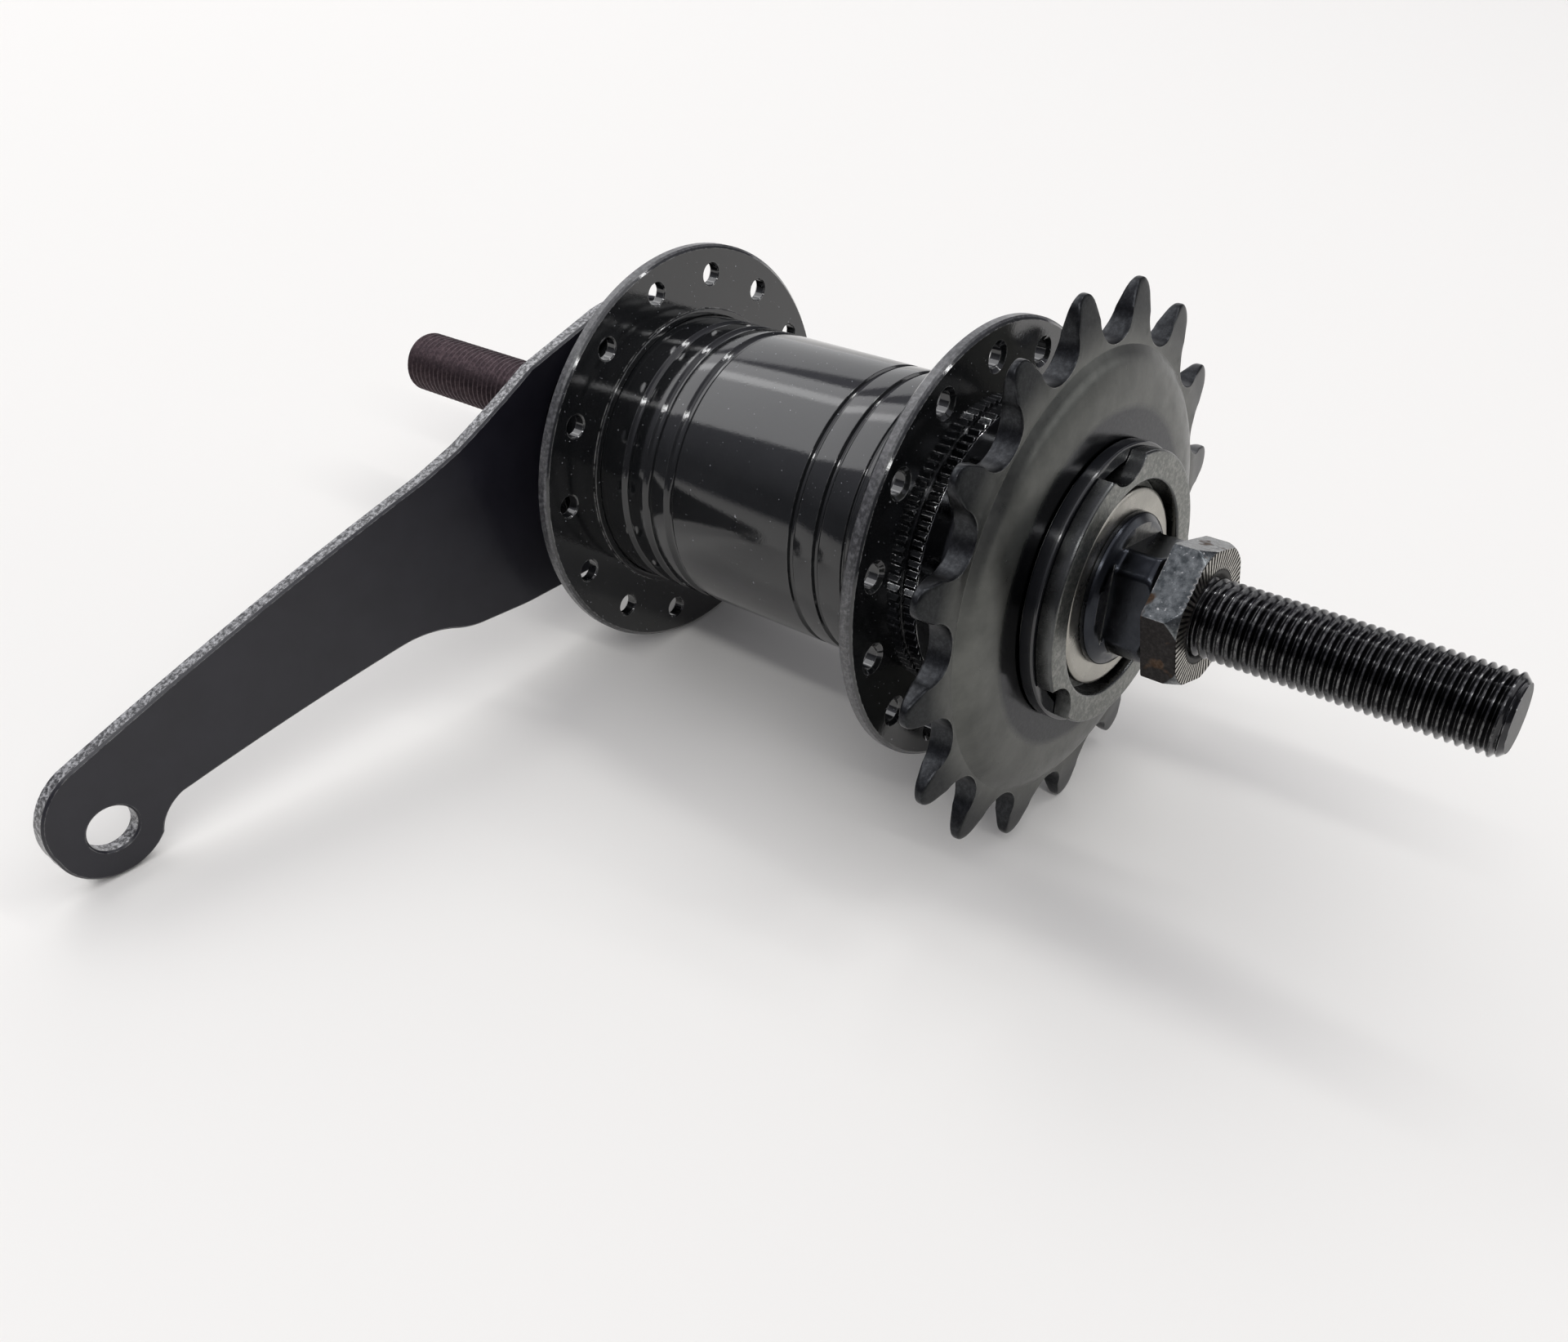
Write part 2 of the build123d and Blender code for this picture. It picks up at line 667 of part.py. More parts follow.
def brake_shoe(turn):
    """Half a sleeve with grease grooves round its lining face."""
    sleeve = disc(shoe_radius, shoe_left_y, shoe_right_y) - shoe_bore()
    spacing = shoe_length / (shoe_groove_count + 1)
    for i in range(shoe_groove_count):
        y = shoe_left_y + (i + 1) * spacing
        sleeve -= ring(shoe_radius - shoe_groove_depth, shoe_radius + cut_margin,
                       y - shoe_groove_width / 2, y + shoe_groove_width / 2)
    below = Pos(0, 0, shoe_half_slot - shoe_radius) * Box(3 * shoe_radius, 6 * shoe_length, 2 * shoe_radius)
    return around(turn) * (sleeve - below)


# Driver and what it carries

def driver_blank():
    shoulder_y = sprocket_boss_back_y - driver_shoulder_thickness
    neck = cone_neck_radius(right_bearing)
    shoulder = cone_shoulder_radius(right_bearing)
    web_y = driver_cap_seat_y + driver_cap_thickness
    neck_y = right_cup_seat_y
    return turned([(0, screw_end_y), (screw_radius - driver_bevel, screw_end_y),
                   (screw_radius, screw_end_y + driver_bevel), (screw_radius, neck_y), (neck, neck_y),
                   (neck, right_bearing.y), (shoulder, right_bearing.y), (shoulder, web_y),
                   (driver_web_radius, web_y), (driver_shoulder_radius, shoulder_y),
                   (driver_shoulder_radius, sprocket_boss_back_y),
                   (driver_rim_radius, sprocket_boss_back_y),
                   (driver_rim_radius, snap_groove_back_y), (snap_ring_groove_radius, snap_groove_back_y),
                   (snap_ring_groove_radius, snap_groove_front_y), (driver_rim_radius, snap_groove_front_y),
                   (driver_rim_radius, driver_face_y - driver_bevel),
                   (driver_rim_radius - driver_bevel, driver_face_y),
                   (0, driver_face_y)])


def driver_hollow():
    """The axle bore, the race of the small bearing and the mouth in the face."""
    mouth_floor_y = driver_face_y - driver_mouth_depth
    pocket = cup_mouth_radius(driver_bearing)
    lip = cup_lip_radius(driver_bearing)
    lip_y = driver_bearing.y - race_radius(driver_bearing)
    room_y = drive_cone_nose_y - cone_nose_room
    room_radius = cone_neck_radius(driver_bearing) + cone_nose_room
    return turned([(0, screw_end_y), (driver_bore_radius, screw_end_y), (driver_bore_radius, room_y),
                   (room_radius, room_y), (room_radius, lip_y), (lip, lip_y), (lip, driver_bearing.y),
                   (pocket, driver_bearing.y), (pocket, mouth_floor_y),
                   (driver_mouth_radius, mouth_floor_y), (driver_mouth_radius, driver_face_y),
                   (0, driver_face_y)])


def driver():
    notch = Pos(notch_circle_radius, 0, 0) * disc(notch_radius, sprocket_boss_back_y, driver_face_y)
    body = driver_blank() - driver_hollow() - race_cut(right_bearing) - race_cut(driver_bearing)
    return body - repeated(notch, notch_count, notch_angle)


def driver_dust_cap():
    """A thin cap on the driver that covers the mouth of the large bearing."""
    hole = cone_shoulder_radius(right_bearing) + press_gap
    rim = driver_cap_radius - driver_cap_thickness
    face_y = driver_cap_seat_y + driver_cap_thickness
    return turned([(hole, driver_cap_seat_y), (rim, driver_cap_seat_y), (driver_cap_radius, face_y),
                   (driver_cap_radius, face_y + driver_cap_rim), (rim, face_y + driver_cap_rim),
                   (rim, face_y), (hole, face_y)])


def snap_ring():
    inner_radius = snap_ring_groove_radius + snap_ring_play
    band = ring(inner_radius, snap_ring_outer_radius, snap_ring_back_y, snap_ring_front_y)
    opening = plate(Pos(snap_ring_outer_radius, 0) * Rectangle(snap_ring_outer_radius, snap_ring_opening),
                    snap_ring_back_y, snap_ring_front_y)
    return band - around(snap_ring_opening_angle) * opening


def sprocket_blank():
    """The dished disc: a flat tooth plate, a rounded rim and a boss that stands further out."""
    front_y = tooth_plate_front_y
    back_y = tooth_plate_back_y
    tip_inset = (sprocket_thickness - tooth_tip_thickness) / 2
    boss_radius = driver_shoulder_radius + running_gap
    crest = (rim_crest_radius, front_y + rim_crest_height)
    foot = (rim_foot_radius, front_y)
    face = Polyline(foot, (tooth_bevel_start_radius, front_y), (tooth_tip_radius, front_y - tip_inset),
                    (tooth_tip_radius, back_y + tip_inset), (tooth_bevel_start_radius, back_y),
                    (rim_foot_radius, back_y), (web_back_radius, back_y + rim_crest_height),
                    (boss_radius, sprocket_boss_back_y), (0, sprocket_boss_back_y),
                    (0, sprocket_boss_front_y), (boss_radius, sprocket_boss_front_y),
                    (boss_radius + sprocket_boss_bevel, sprocket_boss_front_y - sprocket_boss_bevel), crest)
    face += RadiusArc(crest, foot, rim_crest_round)
    return revolve(make_face(face), Axis.Y)


def tooth_gap():
    """The space between two teeth: a roller seat that opens towards the tips."""
    half_pitch_at_tip = tooth_tip_radius * sin(pi / sprocket_teeth)
    half_mouth = half_pitch_at_tip - tooth_tip_width / 2
    throat = chain_circle_radius - tooth_throat_inset
    flare = (half_mouth - roller_seat_radius) / (tooth_tip_radius - throat)
    beyond = tooth_tip_radius + cut_margin
    half_beyond = roller_seat_radius + flare * (beyond - throat)
    mouth = make_face(Polyline((throat, -roller_seat_radius), (beyond, -half_beyond),
                               (beyond, half_beyond), (throat, roller_seat_radius), close=True))
    seat = Pos(chain_circle_radius - roller_seat_inset, 0) * Circle(roller_seat_radius)
    return plate(mouth + seat, tooth_plate_back_y - cut_margin, tooth_plate_front_y + cut_margin)


def sprocket():
    half_pitch = 180 / sprocket_teeth
    wheel = sprocket_blank() - repeated(tooth_gap(), sprocket_teeth, tooth_angle + half_pitch)
    y_low = sprocket_boss_back_y - cut_margin
    y_high = sprocket_boss_front_y + cut_margin
    lug = Pos(notch_circle_radius, 0, 0) * disc(notch_radius - key_gap, y_low, y_high)
    bore = disc(driver_rim_radius + key_gap, y_low, y_high) - repeated(lug, notch_count, notch_angle)
    return wheel - bore


# Drive cone and its dust disc

def drive_cone():
    neck = cone_neck_radius(driver_bearing)
    shoulder = cone_shoulder_radius(driver_bearing)
    flange_end_y = dust_disc_face_y + drive_cone_flange_thickness
    body = turned([(0, drive_cone_nose_y), (neck, drive_cone_nose_y), (neck, driver_bearing.y),
                   (shoulder, driver_bearing.y), (shoulder, dust_disc_face_y),
                   (drive_cone_flange_radius, dust_disc_face_y),
                   (drive_cone_flange_radius, flange_end_y - driver_bevel),
                   (drive_cone_flange_radius - driver_bevel, flange_end_y), (0, flange_end_y)])
    flats = rounded_square(boss_across_flats, boss_corner_radius, flange_end_y, drive_nut_seat_y)
    bore = disc(screwed_bore_radius, drive_cone_nose_y, drive_nut_seat_y)
    return body - race_cut(driver_bearing) + around(cone_flats_angle) * flats - bore


def drive_dust_disc():
    hole = cone_shoulder_radius(driver_bearing) + press_gap
    return ring(hole, dust_disc_radius, dust_disc_face_y - dust_disc_thickness, dust_disc_face_y)


# Every piece under the name that a fitter would use

pieces = {
    "axle": axle(),
    "brake_arm": brake_arm(),
    "brake_cone": brake_cone(),
    "shoe_expander": shoe_expander(),
    "arm_washer": arm_washer(),
    "arm_locknut": arm_locknut(),
    "drive_cone": drive_cone(),
    "drive_dust_disc": drive_dust_disc(),
    "drive_locknut": drive_locknut(),
    "shell_barrel": barrel(),
    "left_flange": left_flange(),
    "right_flange": right_flange(),
    "left_ball_cup": left_cup(),
    "right_ball_cup": right_cup(),
    "left_dust_cap": left_dust_cap(),
    "knurled_collar": knurled_collar(),
    "drive_ring": drive_ring(),
    "driver": driver(),
    "driver_dust_cap": driver_dust_cap(),
    "snap_ring": snap_ring(),
    "sprocket": sprocket(),
    "clutch_cone": clutch_cone(),
    "drag_spring": drag_spring(),
    "upper_brake_shoe": brake_shoe(0),
    "lower_brake_shoe": brake_shoe(180),
    "left_balls": ball_set(left_bearing),
    "left_ball_cage": cage(left_bearing),
    "right_balls": ball_set(right_bearing),
    "right_ball_cage": cage(right_bearing),
    "driver_balls": ball_set(driver_bearing),
    "driver_ball_cage": cage(driver_bearing),
}

os.makedirs("parts", exist_ok=True)
for name, piece in pieces.items():
    export_step(piece, f"parts/{name}.step")
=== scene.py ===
import bmesh
import bpy
from math import asin, atan2, ceil, cos, hypot, pi, radians, sin, sqrt, tan
from mathutils import Matrix, Vector


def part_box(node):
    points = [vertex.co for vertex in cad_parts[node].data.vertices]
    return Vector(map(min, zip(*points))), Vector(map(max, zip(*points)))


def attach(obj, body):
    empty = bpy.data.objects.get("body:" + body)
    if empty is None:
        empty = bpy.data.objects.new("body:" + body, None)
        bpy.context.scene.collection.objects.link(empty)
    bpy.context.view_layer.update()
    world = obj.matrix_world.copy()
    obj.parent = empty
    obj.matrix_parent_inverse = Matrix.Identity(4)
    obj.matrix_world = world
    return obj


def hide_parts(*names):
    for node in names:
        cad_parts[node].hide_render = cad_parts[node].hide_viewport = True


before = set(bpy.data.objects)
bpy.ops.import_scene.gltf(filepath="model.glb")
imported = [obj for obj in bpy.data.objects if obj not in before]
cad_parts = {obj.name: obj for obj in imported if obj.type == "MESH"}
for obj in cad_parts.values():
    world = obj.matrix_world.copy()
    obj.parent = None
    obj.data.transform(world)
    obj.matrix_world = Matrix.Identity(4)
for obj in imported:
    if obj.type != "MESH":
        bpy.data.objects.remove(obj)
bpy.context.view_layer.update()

# Rear hub with a back-pedal brake. Lengths are in millimetres, those of the floor and lamps in metres.
# The axle lies along Y. Angles about it go from +X towards +Z, and those named here are in degrees.
MM = 0.001

# The camera of the photograph, in the frame of the part
camera_place = (135.05, 106.22, 100.43)
camera_forward = (-0.59455, -0.54017, -0.59559)
camera_roll = 5.68
camera_lens = 34.04
camera_sensor = 36.0

# The rounding of an edge that has none of its own, and how close two places count as one
edge_round = 0.15
same_place = 0.01

# Thread of the axle
thread_pitch = 1.058
thread_depth = 0.5
thread_crest_share = 0.18
thread_flank_stretch = 1.15
thread_steps_round = 48
thread_steps_along = 10
thread_in_nut = 2.0
screwed_bore_gap = 0.05
axle_end_chamfer = 0.9

# Locknuts and washer
nut_across_flats = 16.0
nut_bevel = 1.5
nut_face_radius = 8.4
nut_mouth_width = 0.45
nut_serrations = 66
nut_serration_depth = 0.4
nut_serration_start = 5.7
nut_serration_rise = 0.3
nut_valley_steepness = 2.2
nut_corner_angles = {"drive_locknut": 22.5, "arm_locknut": 5.0}
# The side of each nut that is painted darker as shade, as an angle about the axle
nut_painted_shade_angle = -7.5
washer_play = 0.3

# Drive cone and dust disc
cone_across_flats = 13.0
cone_corner_radius = 7.8
cone_flats_angle = 14.8
cone_neck_radius = 6.5
cone_flange_thickness = 1.8
cone_flange_slope = 1.0
cone_fillet = 0.3
cone_end_bevel = 0.9
dust_disc_hole_radius = 7.9
dust_disc_edge_width = 0.5
dust_disc_edge_height = 0.25

# Barrel of the shell
drum_radius = 16.4
right_cup_seat_radius = 15.6
right_cup_seat_depth = 8.2
left_seat_radius = 18.0
right_seat_radius = 17.5
groove_depth = 0.5
groove_lip_round = 0.06
left_groove_reaches = (5.2, 9.0, 12.8)
left_groove_width = 1.6
right_groove_widths = {6.5: 0.5, 10.6: 1.0, 14.4: 1.0}

# Spoke flanges
flange_thickness = 1.98
flange_rim_bevel = 0.5
flange_seat_gap = 0.02
left_collar_width = 0.9
spoke_count = 14
spoke_circle_radius = 24.5
spoke_hole_radius = 1.5
spoke_countersink = 0.5
spoke_edge = 0.15
spoke_angles = {"left_flange": 5.87, "right_flange": 18.76}

# Knurled collar
knurl_ribs = 96
knurl_depth = 0.5
knurl_start = 0.4
knurl_length = 1.6
knurl_lip_radius = 15.0
knurl_lip_thickness = 1.1

# Dust caps. Each corner of a bottom edge is how far in, how far along the axle, and its rounding.
cap_thickness = 0.8
left_cap_hole_radius = 11.8
left_cap_edge = ((0, 0, 0.5),)
driver_cap_hole_radius = 9.82
driver_cap_edge = ((cap_thickness, 0, 0.4), (0, cap_thickness, 0.3))

# Driver
driver_bore_radius = 5.3
driver_screw_radius = 7.4
driver_screw_end_y = 15.8
driver_neck_radius = 7.9
driver_neck_end_y = 20.8
driver_inner_shoulder_radius = 9.8
driver_web_radius = 13.4
driver_web_y = 26.8
driver_shoulder_thickness = 2.0
driver_rim_radius = 16.9
driver_mouth_radius = 13.4
driver_mouth_depth = 2.7
driver_mouth_draft = 0.1
driver_cup_radius = 11.48
driver_cup_depth = 6.1
driver_cup_floor_radius = 8.0
driver_cup_floor_depth = 8.6
driver_bore_depth = 10.5
driver_notch_count = 3
driver_notch_angle = 89.3
driver_notch_circle = 19.0
driver_notch_radius = 4.5

# Snap ring
snap_ring_inner_radius = 15.5
snap_ring_play = 0.1
snap_ring_opening = 5.0
snap_ring_opening_angle = 209.3
snap_ring_round = 0.3
snap_ring_steps = 150

# Sprocket. Each corner of the dish has a radius, a height over the tooth plate and a rounding.
sprocket_teeth = 16
sprocket_play = 0.1
sprocket_lug_radius = 4.4
tooth_angle = 0.66
chain_pitch = 12.7
roller_seat_radius = 3.95
roller_seat_inset = 0.3
roller_seat_half_angle = 86
tooth_throat_inset = 0.6
tooth_tip_width = 2.3
tooth_tip_thickness = 1.1
tooth_bevel_start = 29.4
tooth_plate_thickness = 3.0
tooth_edge_round = 0.9
rim_foot_radius = 28.0
boss_face_radius = 21.7
boss_back_radius = 19.3
dish_front = ((24.4, 1.6, 1.2), (26.5, 1.0, 1.0))
dish_back = (23.5, 0.95, 1.0)

# Brake arm, drawn from the axle towards the hole in its tip
arm_angle = -10.95
arm_hub_radius = 19.3
arm_lower_edge_slope = 15.3
arm_thickness = 2.3
arm_hole_reach = 89.7
arm_hole_radius = 3.15
arm_hole_edge = 0.25
arm_eye_radius = 6.9
arm_eye_end_angle = -130
arm_tip_overhang = 7.2
arm_bend_reach = 28.0
arm_bend_angle = 7.2
arm_bend_radius = 14.0
arm_bend_cuts = 8
arm_edge_round = 0.3
arm_key_across_flats = 13.2
arm_key_corner_radius = 8.1
arm_key_edge = 0.1

# Finishes: how many spots each noise has in a metre
tone_spots = 160
gloss_spots_share = 3.1
grit_spots = 2600
zone_spots = 1900
edge_spots = 900
rust_spots = 230
bump_spots = 2200

# Floor, and the soft lamps: centre, direction, size and brightness
floor_half_size = 3.0
floor_colour = (0.85, 0.835, 0.795, 1)
soft_lamps = {
    "ceiling softbox": ((-0.02, -0.8, 1.0), (0, 0.0965, -0.9953), (1.26, 0.8), 1.78),
    "ceiling streak": ((-0.3, -0.78, 0.98), (0, 0.0965, -0.9953), (0.14, 0.76), 1.8),
    "side softbox": ((-0.8, 0.89, 0.17), (0.66, -0.74, -0.1), (0.9, 0.36), 1.3),
    "back softbox": ((-1.0, -0.8, 0.47), (0.78, 0.62, -0.1), (1.5, 0.94), 0.95),
    "overhead softbox": ((0.3, 0.55, 1.3), (0, -0.2, -1), (1.8, 1.3), 0.47),
}

# Strip lamps: where each starts and ends, as an angle round the part and a height
strip_lamp_ends = (((-1, 57), (75, 29)), ((-159, 67), (123, 39)))
strip_lamp_distance = 1.2
strip_lamp_width = 0.04
strip_lamp_brightness = 20

# The room's light: its strength at two heights, where 0 is level and 1 is straight up
room_colour = (0.93, 0.93, 1.04, 1)
room_horizon_height = 0.3
room_sky_height = 0.8
room_horizon_strength = 0.15
room_sky_strength = 0.52


# Tools for shapes round the axle

def place(radius, y, angle):
    """A point in metres from its radius, its place along the axle and its angle about it."""
    return Vector((radius * cos(angle), y, radius * sin(angle))) * MM


def span(name):
    """The outer radius of a node of the frame, and its lowest and highest place along the axle."""
    low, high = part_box(name)
    radius = max(-low.x, high.x, -low.z, high.z) / MM
    return radius, low.y / MM, high.y / MM


def rounded(corners, steps=4):
    """The corners (radius, y) or (radius, y, round) of an outline, each rounded by a short curve."""
    points = []
    for i, corner in enumerate(corners):
        here = Vector(corner[:2])
        size = corner[2] if len(corner) > 2 else edge_round
        before = Vector(corners[i - 1][:2]) - here
        after = Vector(corners[(i + 1) % len(corners)][:2]) - here
        size = min(size, 0.45 * before.length, 0.45 * after.length)
        start = here + before.normalized() * size
        end = here + after.normalized() * size
        for step in range(steps + 1):
            t = step / steps
            points.append(start * (1 - t) ** 2 + here * (2 * t * (1 - t)) + end * t ** 2)
    return points


def refined(points, longest):
    """The same closed outline with no stretch longer than the given length."""
    result = []
    for point, following in zip(points, points[1:] + points[:1]):
        count = max(1, ceil((following - point).length / longest))
        result += [point.lerp(following, i / count) for i in range(count)]
    return result


def even_angles(count, first=0.0):
    return [first + i * 2 * pi / count for i in range(count)]


def added(name, data):
    """A new object of the scene."""
    piece = bpy.data.objects.new(name, data)
    bpy.context.scene.collection.objects.link(piece)
    return piece


def finished(name, mesh, sharp=30):
    """Turns a bmesh into an object with sharp edges above the given angle."""
    bmesh.ops.recalc_face_normals(mesh, faces=mesh.faces)
    data = bpy.data.meshes.new(name)
    mesh.to_mesh(data)
    mesh.free()
    data.shade_smooth()
    data.set_sharp_from_angle(angle=radians(sharp))
    return added(name, data)


def ringed(mesh, outline, angles, shape=None, open_arc=False):
    """Carries a closed outline round the axle. shape(radius, y, angle) may change each point."""
    rows = []
    for radius, y in outline:
        row = []
        for angle in angles:
            point = shape(radius, y, angle) if shape else (radius, y)
            row.append(mesh.verts.new(place(*point, angle)))
        rows.append(row)
    last = len(angles) - 1 if open_arc else len(angles)
    for row, following in zip(rows, rows[1:] + rows[:1]):
        for i in range(last):
            j = (i + 1) % len(angles)
            mesh.faces.new((row[i], row[j], following[j], following[i]))
    if open_arc:
        mesh.faces.new([row[0] for row in rows])
        mesh.faces.new([row[-1] for row in rows])


def turned(name, corners, angles=even_angles(128), shape=None, longest=None, sharp=30):
    """A piece of one outline, cut into stretches under the longest where a shape is to bend it."""
    outline = rounded(corners)
    if longest:
        outline = refined(outline, longest)
    mesh = bmesh.new()
    ringed(mesh, outline, angles, shape)
    return finished(name, mesh, sharp)


# Tools for flat plates

def circle(centre_x, centre_z, radius, count):
    return [(centre_x + radius * cos(a), centre_z + radius * sin(a)) for a in even_angles(count)]


def moved_in(loop, distance):
    """A loop moved sideways by the distance, to its left for an anticlockwise loop."""
    result = []
    for i, point in enumerate(loop):
        before = Vector(loop[i - 1])
        after = Vector(loop[(i + 1) % len(loop)])
        along = (after - before).normalized()
        result.append((point[0] - along.y * distance, point[1] + along.x * distance))
    return result


def plate(mesh, loops, y_low, y_high):
    """A plate between two heights. Each loop is (points, side, low edge, high edge): side is 1 for
    the outline and -1 for a hole, and the edges are how far it is bevelled there."""
    low_edges = []
    high_edges = []
    for points, side, low, high in loops:
        levels = [(low, y_low), (0, y_low + low), (0, y_high - high), (high, y_high)]
        rows = []
        for inset, y in levels:
            moved = moved_in(points, side * inset)
            rows.append([mesh.verts.new(Vector((x, y, z)) * MM) for x, z in moved])
        for row, following in zip(rows, rows[1:]):
            for i in range(len(row)):
                j = (i + 1) % len(row)
                mesh.faces.new((row[i], row[j], following[j], following[i]))
        low_edges += [mesh.edges.get((rows[0][i - 1], rows[0][i])) for i in range(len(points))]
        high_edges += [mesh.edges.get((rows[-1][i - 1], rows[-1][i])) for i in range(len(points))]
    for edges in (low_edges, high_edges):
        bmesh.ops.triangle_fill(mesh, use_beauty=True, use_dissolve=False, edges=edges)


# Axle

def thread_radius(phase, outer_radius):
    """The thread's radius at a share of its pitch: a flat crest, straight flanks and a flat root."""
    from_crest = abs(phase - round(phase)) * 2
    fall = max(0, from_crest - thread_crest_share) / (1 - thread_crest_share)
    return outer_radius - thread_depth * min(1, fall * thread_flank_stretch)


def threaded_stub(mesh, outer_radius, y_inner, y_outer):
    """One end of the axle: a helix of thread cut off square and chamfered at its end."""
    low, high = sorted((y_inner, y_outer))
    turns = ceil((high - low) / thread_pitch) + 2
    rows = []
    for i in range(turns * thread_steps_along + 1):
        phase = i / thread_steps_along
        radius = thread_radius(phase, outer_radius)
        row = []
        for k in range(thread_steps_round + 1):
            turn = k / thread_steps_round
            y = low + thread_pitch * (phase + turn - 1)
            chamfer = outer_radius - axle_end_chamfer + abs(y_outer - y)
            row.append(mesh.verts.new(place(min(radius, chamfer), y, turn * 2 * pi)))
        rows.append(row)
    for row, following in zip(rows, rows[1:]):
        for k in range(thread_steps_round):
            mesh.faces.new((row[k], row[k + 1], following[k + 1], following[k]))
    bmesh.ops.remove_doubles(mesh, verts=mesh.verts, dist=0.001 * MM)
    for y, direction in ((low, -1), (high, 1)):
        geometry = mesh.verts[:] + mesh.edges[:] + mesh.faces[:]
        cut = bmesh.ops.bisect_plane(mesh, geom=geometry, plane_co=(0, y * MM, 0),
                                     plane_no=(0, direction, 0), clear_outer=True)
        rim = [item for item in cut["geom_cut"] if isinstance(item, bmesh.types.BMEdge)]
        bmesh.ops.triangle_fill(mesh, use_beauty=True, use_dissolve=False, edges=rim)


def axle():
    """The axle: two threaded ends, joined by a plain core that its nuts and cones hide."""
    radius, y_low, y_high = span("axle")
    core_end = span("drive_locknut")[2] - thread_in_nut
    whole = bmesh.new()
    for y_inner, y_outer in ((-core_end, y_low), (core_end, y_high)):
        part = bmesh.new()
        threaded_stub(part, radius, y_inner, y_outer)
        data = bpy.data.meshes.new("stub")
        part.to_mesh(data)
        part.free()
        whole.from_mesh(data)
        bpy.data.meshes.remove(data)
    core = radius - thread_depth
    angles = even_angles(thread_steps_round)
    low = [whole.verts.new(place(core, -core_end, angle)) for angle in angles]
    high = [whole.verts.new(place(core, core_end, angle)) for angle in angles]
    for i in range(len(low)):
        whole.faces.new((low[i - 1], low[i], high[i], high[i - 1]))
    whole.faces.new(low)
    whole.faces.new(high)
    return finished("threaded_axle", whole, 25)


# Locknuts, washer and drive cone

def flats_radius(across_flats, sides, angle, first):
    """The radius of a polygon at an angle, with a corner at the first angle."""
    step = 2 * pi / sides
    from_corner = (angle - first) % step
    return across_flats / 2 / cos(from_corner - step / 2)


def screwed_bore():
    """The radius of a nut's or cone's bore, where the thread's root just clears it."""
    return span("axle")[0] - thread_depth + screwed_bore_gap


def locknut(name, outwards):
    """A hexagon nut with a bevelled, serrated outer face."""
    _, y_low, y_high = span(name)
    seat, face = (y_low, y_high) if outwards > 0 else (y_high, y_low)
    corner_radius = nut_across_flats / 2 / cos(radians(30))
    bore = screwed_bore()
    mouth = span("axle")[0] + nut_mouth_width
    first = radians(nut_corner_angles[name])
    corners = [(bore, seat), (corner_radius, seat), (corner_radius, face - outwards * nut_bevel),
               (nut_face_radius, face), (mouth, face), (bore, face - outwards * (mouth - bore))]

    def shape(radius, y, angle):
        flats = flats_radius(nut_across_flats, 6, angle, first)
        depth = 0
        if abs(y - face) < same_place and radius > nut_serration_start:
            from_valley = abs((angle * nut_serrations / 2 / pi) % 1 - 0.5) * 2
            rise = min(1, (radius - nut_serration_start) / nut_serration_rise)
            depth = nut_serration_depth * rise * max(0, 1 - from_valley * nut_valley_steepness)
        return min(radius, flats), y - outwards * depth

    angles = even_angles(nut_serrations * 8, first)
    return turned("hex_" + name, corners, angles, shape, longest=0.25)


def washer():
    radius, y_low, y_high = span("arm_washer")
    bore = span("axle")[0] + washer_play
    return turned("plain_washer", [(bore, y_low), (radius, y_low, 0.3), (radius, y_high), (bore, y_high)])


def drive_cone():
    """The cone's visible end: a round flange, then a square with rounded corners."""
    radius, y_low, y_high = span("drive_cone")
    bore = screwed_bore()
    disc_face = span("drive_dust_disc")[2]
    flange_end = disc_face + cone_flange_thickness
    fillet = cone_fillet
    corners = [(bore, y_low), (cone_neck_radius, y_low), (cone_neck_radius, disc_face),
               (radius, disc_face), (radius, flange_end - cone_flange_slope, 0.4),
               (cone_corner_radius + fillet, flange_end, fillet),
               (cone_corner_radius, flange_end + fillet, fillet),
               (cone_corner_radius, y_high - cone_end_bevel, 0.4),
               (cone_corner_radius - cone_end_bevel, y_high), (bore, y_high)]
    first = radians(cone_flats_angle + 45)

    def shape(radius, y, angle):
        if y < flange_end - fillet / 2:
            return radius, y
        return min(radius, flats_radius(cone_across_flats, 4, angle, first)), y

    return turned("square_drive_cone", corners, even_angles(144, first), shape, longest=0.3)


def dust_disc():
    radius, y_low, y_high = span("drive_dust_disc")
    hole = dust_disc_hole_radius
    return turned("turned_dust_disc", [(hole, y_low), (radius, y_low),
                                       (radius, y_high - dust_disc_edge_height, 0.2),
                                       (radius - dust_disc_edge_width, y_high), (hole, y_high)])


# Shell

def groove(y, width):
    """The corners of a round-bottomed groove round the barrel."""
    radius = span("shell_barrel")[0]
    floor_radius = radius - min(groove_depth, width / 2)
    return [(radius, y - width / 2, groove_lip_round), (floor_radius, y - width / 4, width / 2),
            (floor_radius, y + width / 4, width / 2), (radius, y + width / 2, groove_lip_round)]


def barrel():
    """The barrel, with grooves near both flanges, both flanges' seats and the drum for its bore."""
    radius, y_low, y_high = span("shell_barrel")
    left_face = span("left_flange")[1] + flange_thickness
    right_face = span("right_flange")[1]
    cup_seat = y_high - right_cup_seat_depth
    corners = [(drum_radius, y_low), (left_seat_radius, y_low), (left_seat_radius, left_face),
               (radius, left_face)]
    for reach in left_groove_reaches:
        corners += groove(left_face + reach, left_groove_width)
    for reach in sorted(right_groove_widths, reverse=True):
        corners += groove(right_face - reach, right_groove_widths[reach])
    corners += [(radius, right_face), (right_seat_radius, right_face), (right_seat_radius, y_high),
                (right_cup_seat_radius, y_high), (right_cup_seat_radius, cup_seat), (drum_radius, cup_seat)]
    return turned("turned_barrel", corners, even_angles(160))


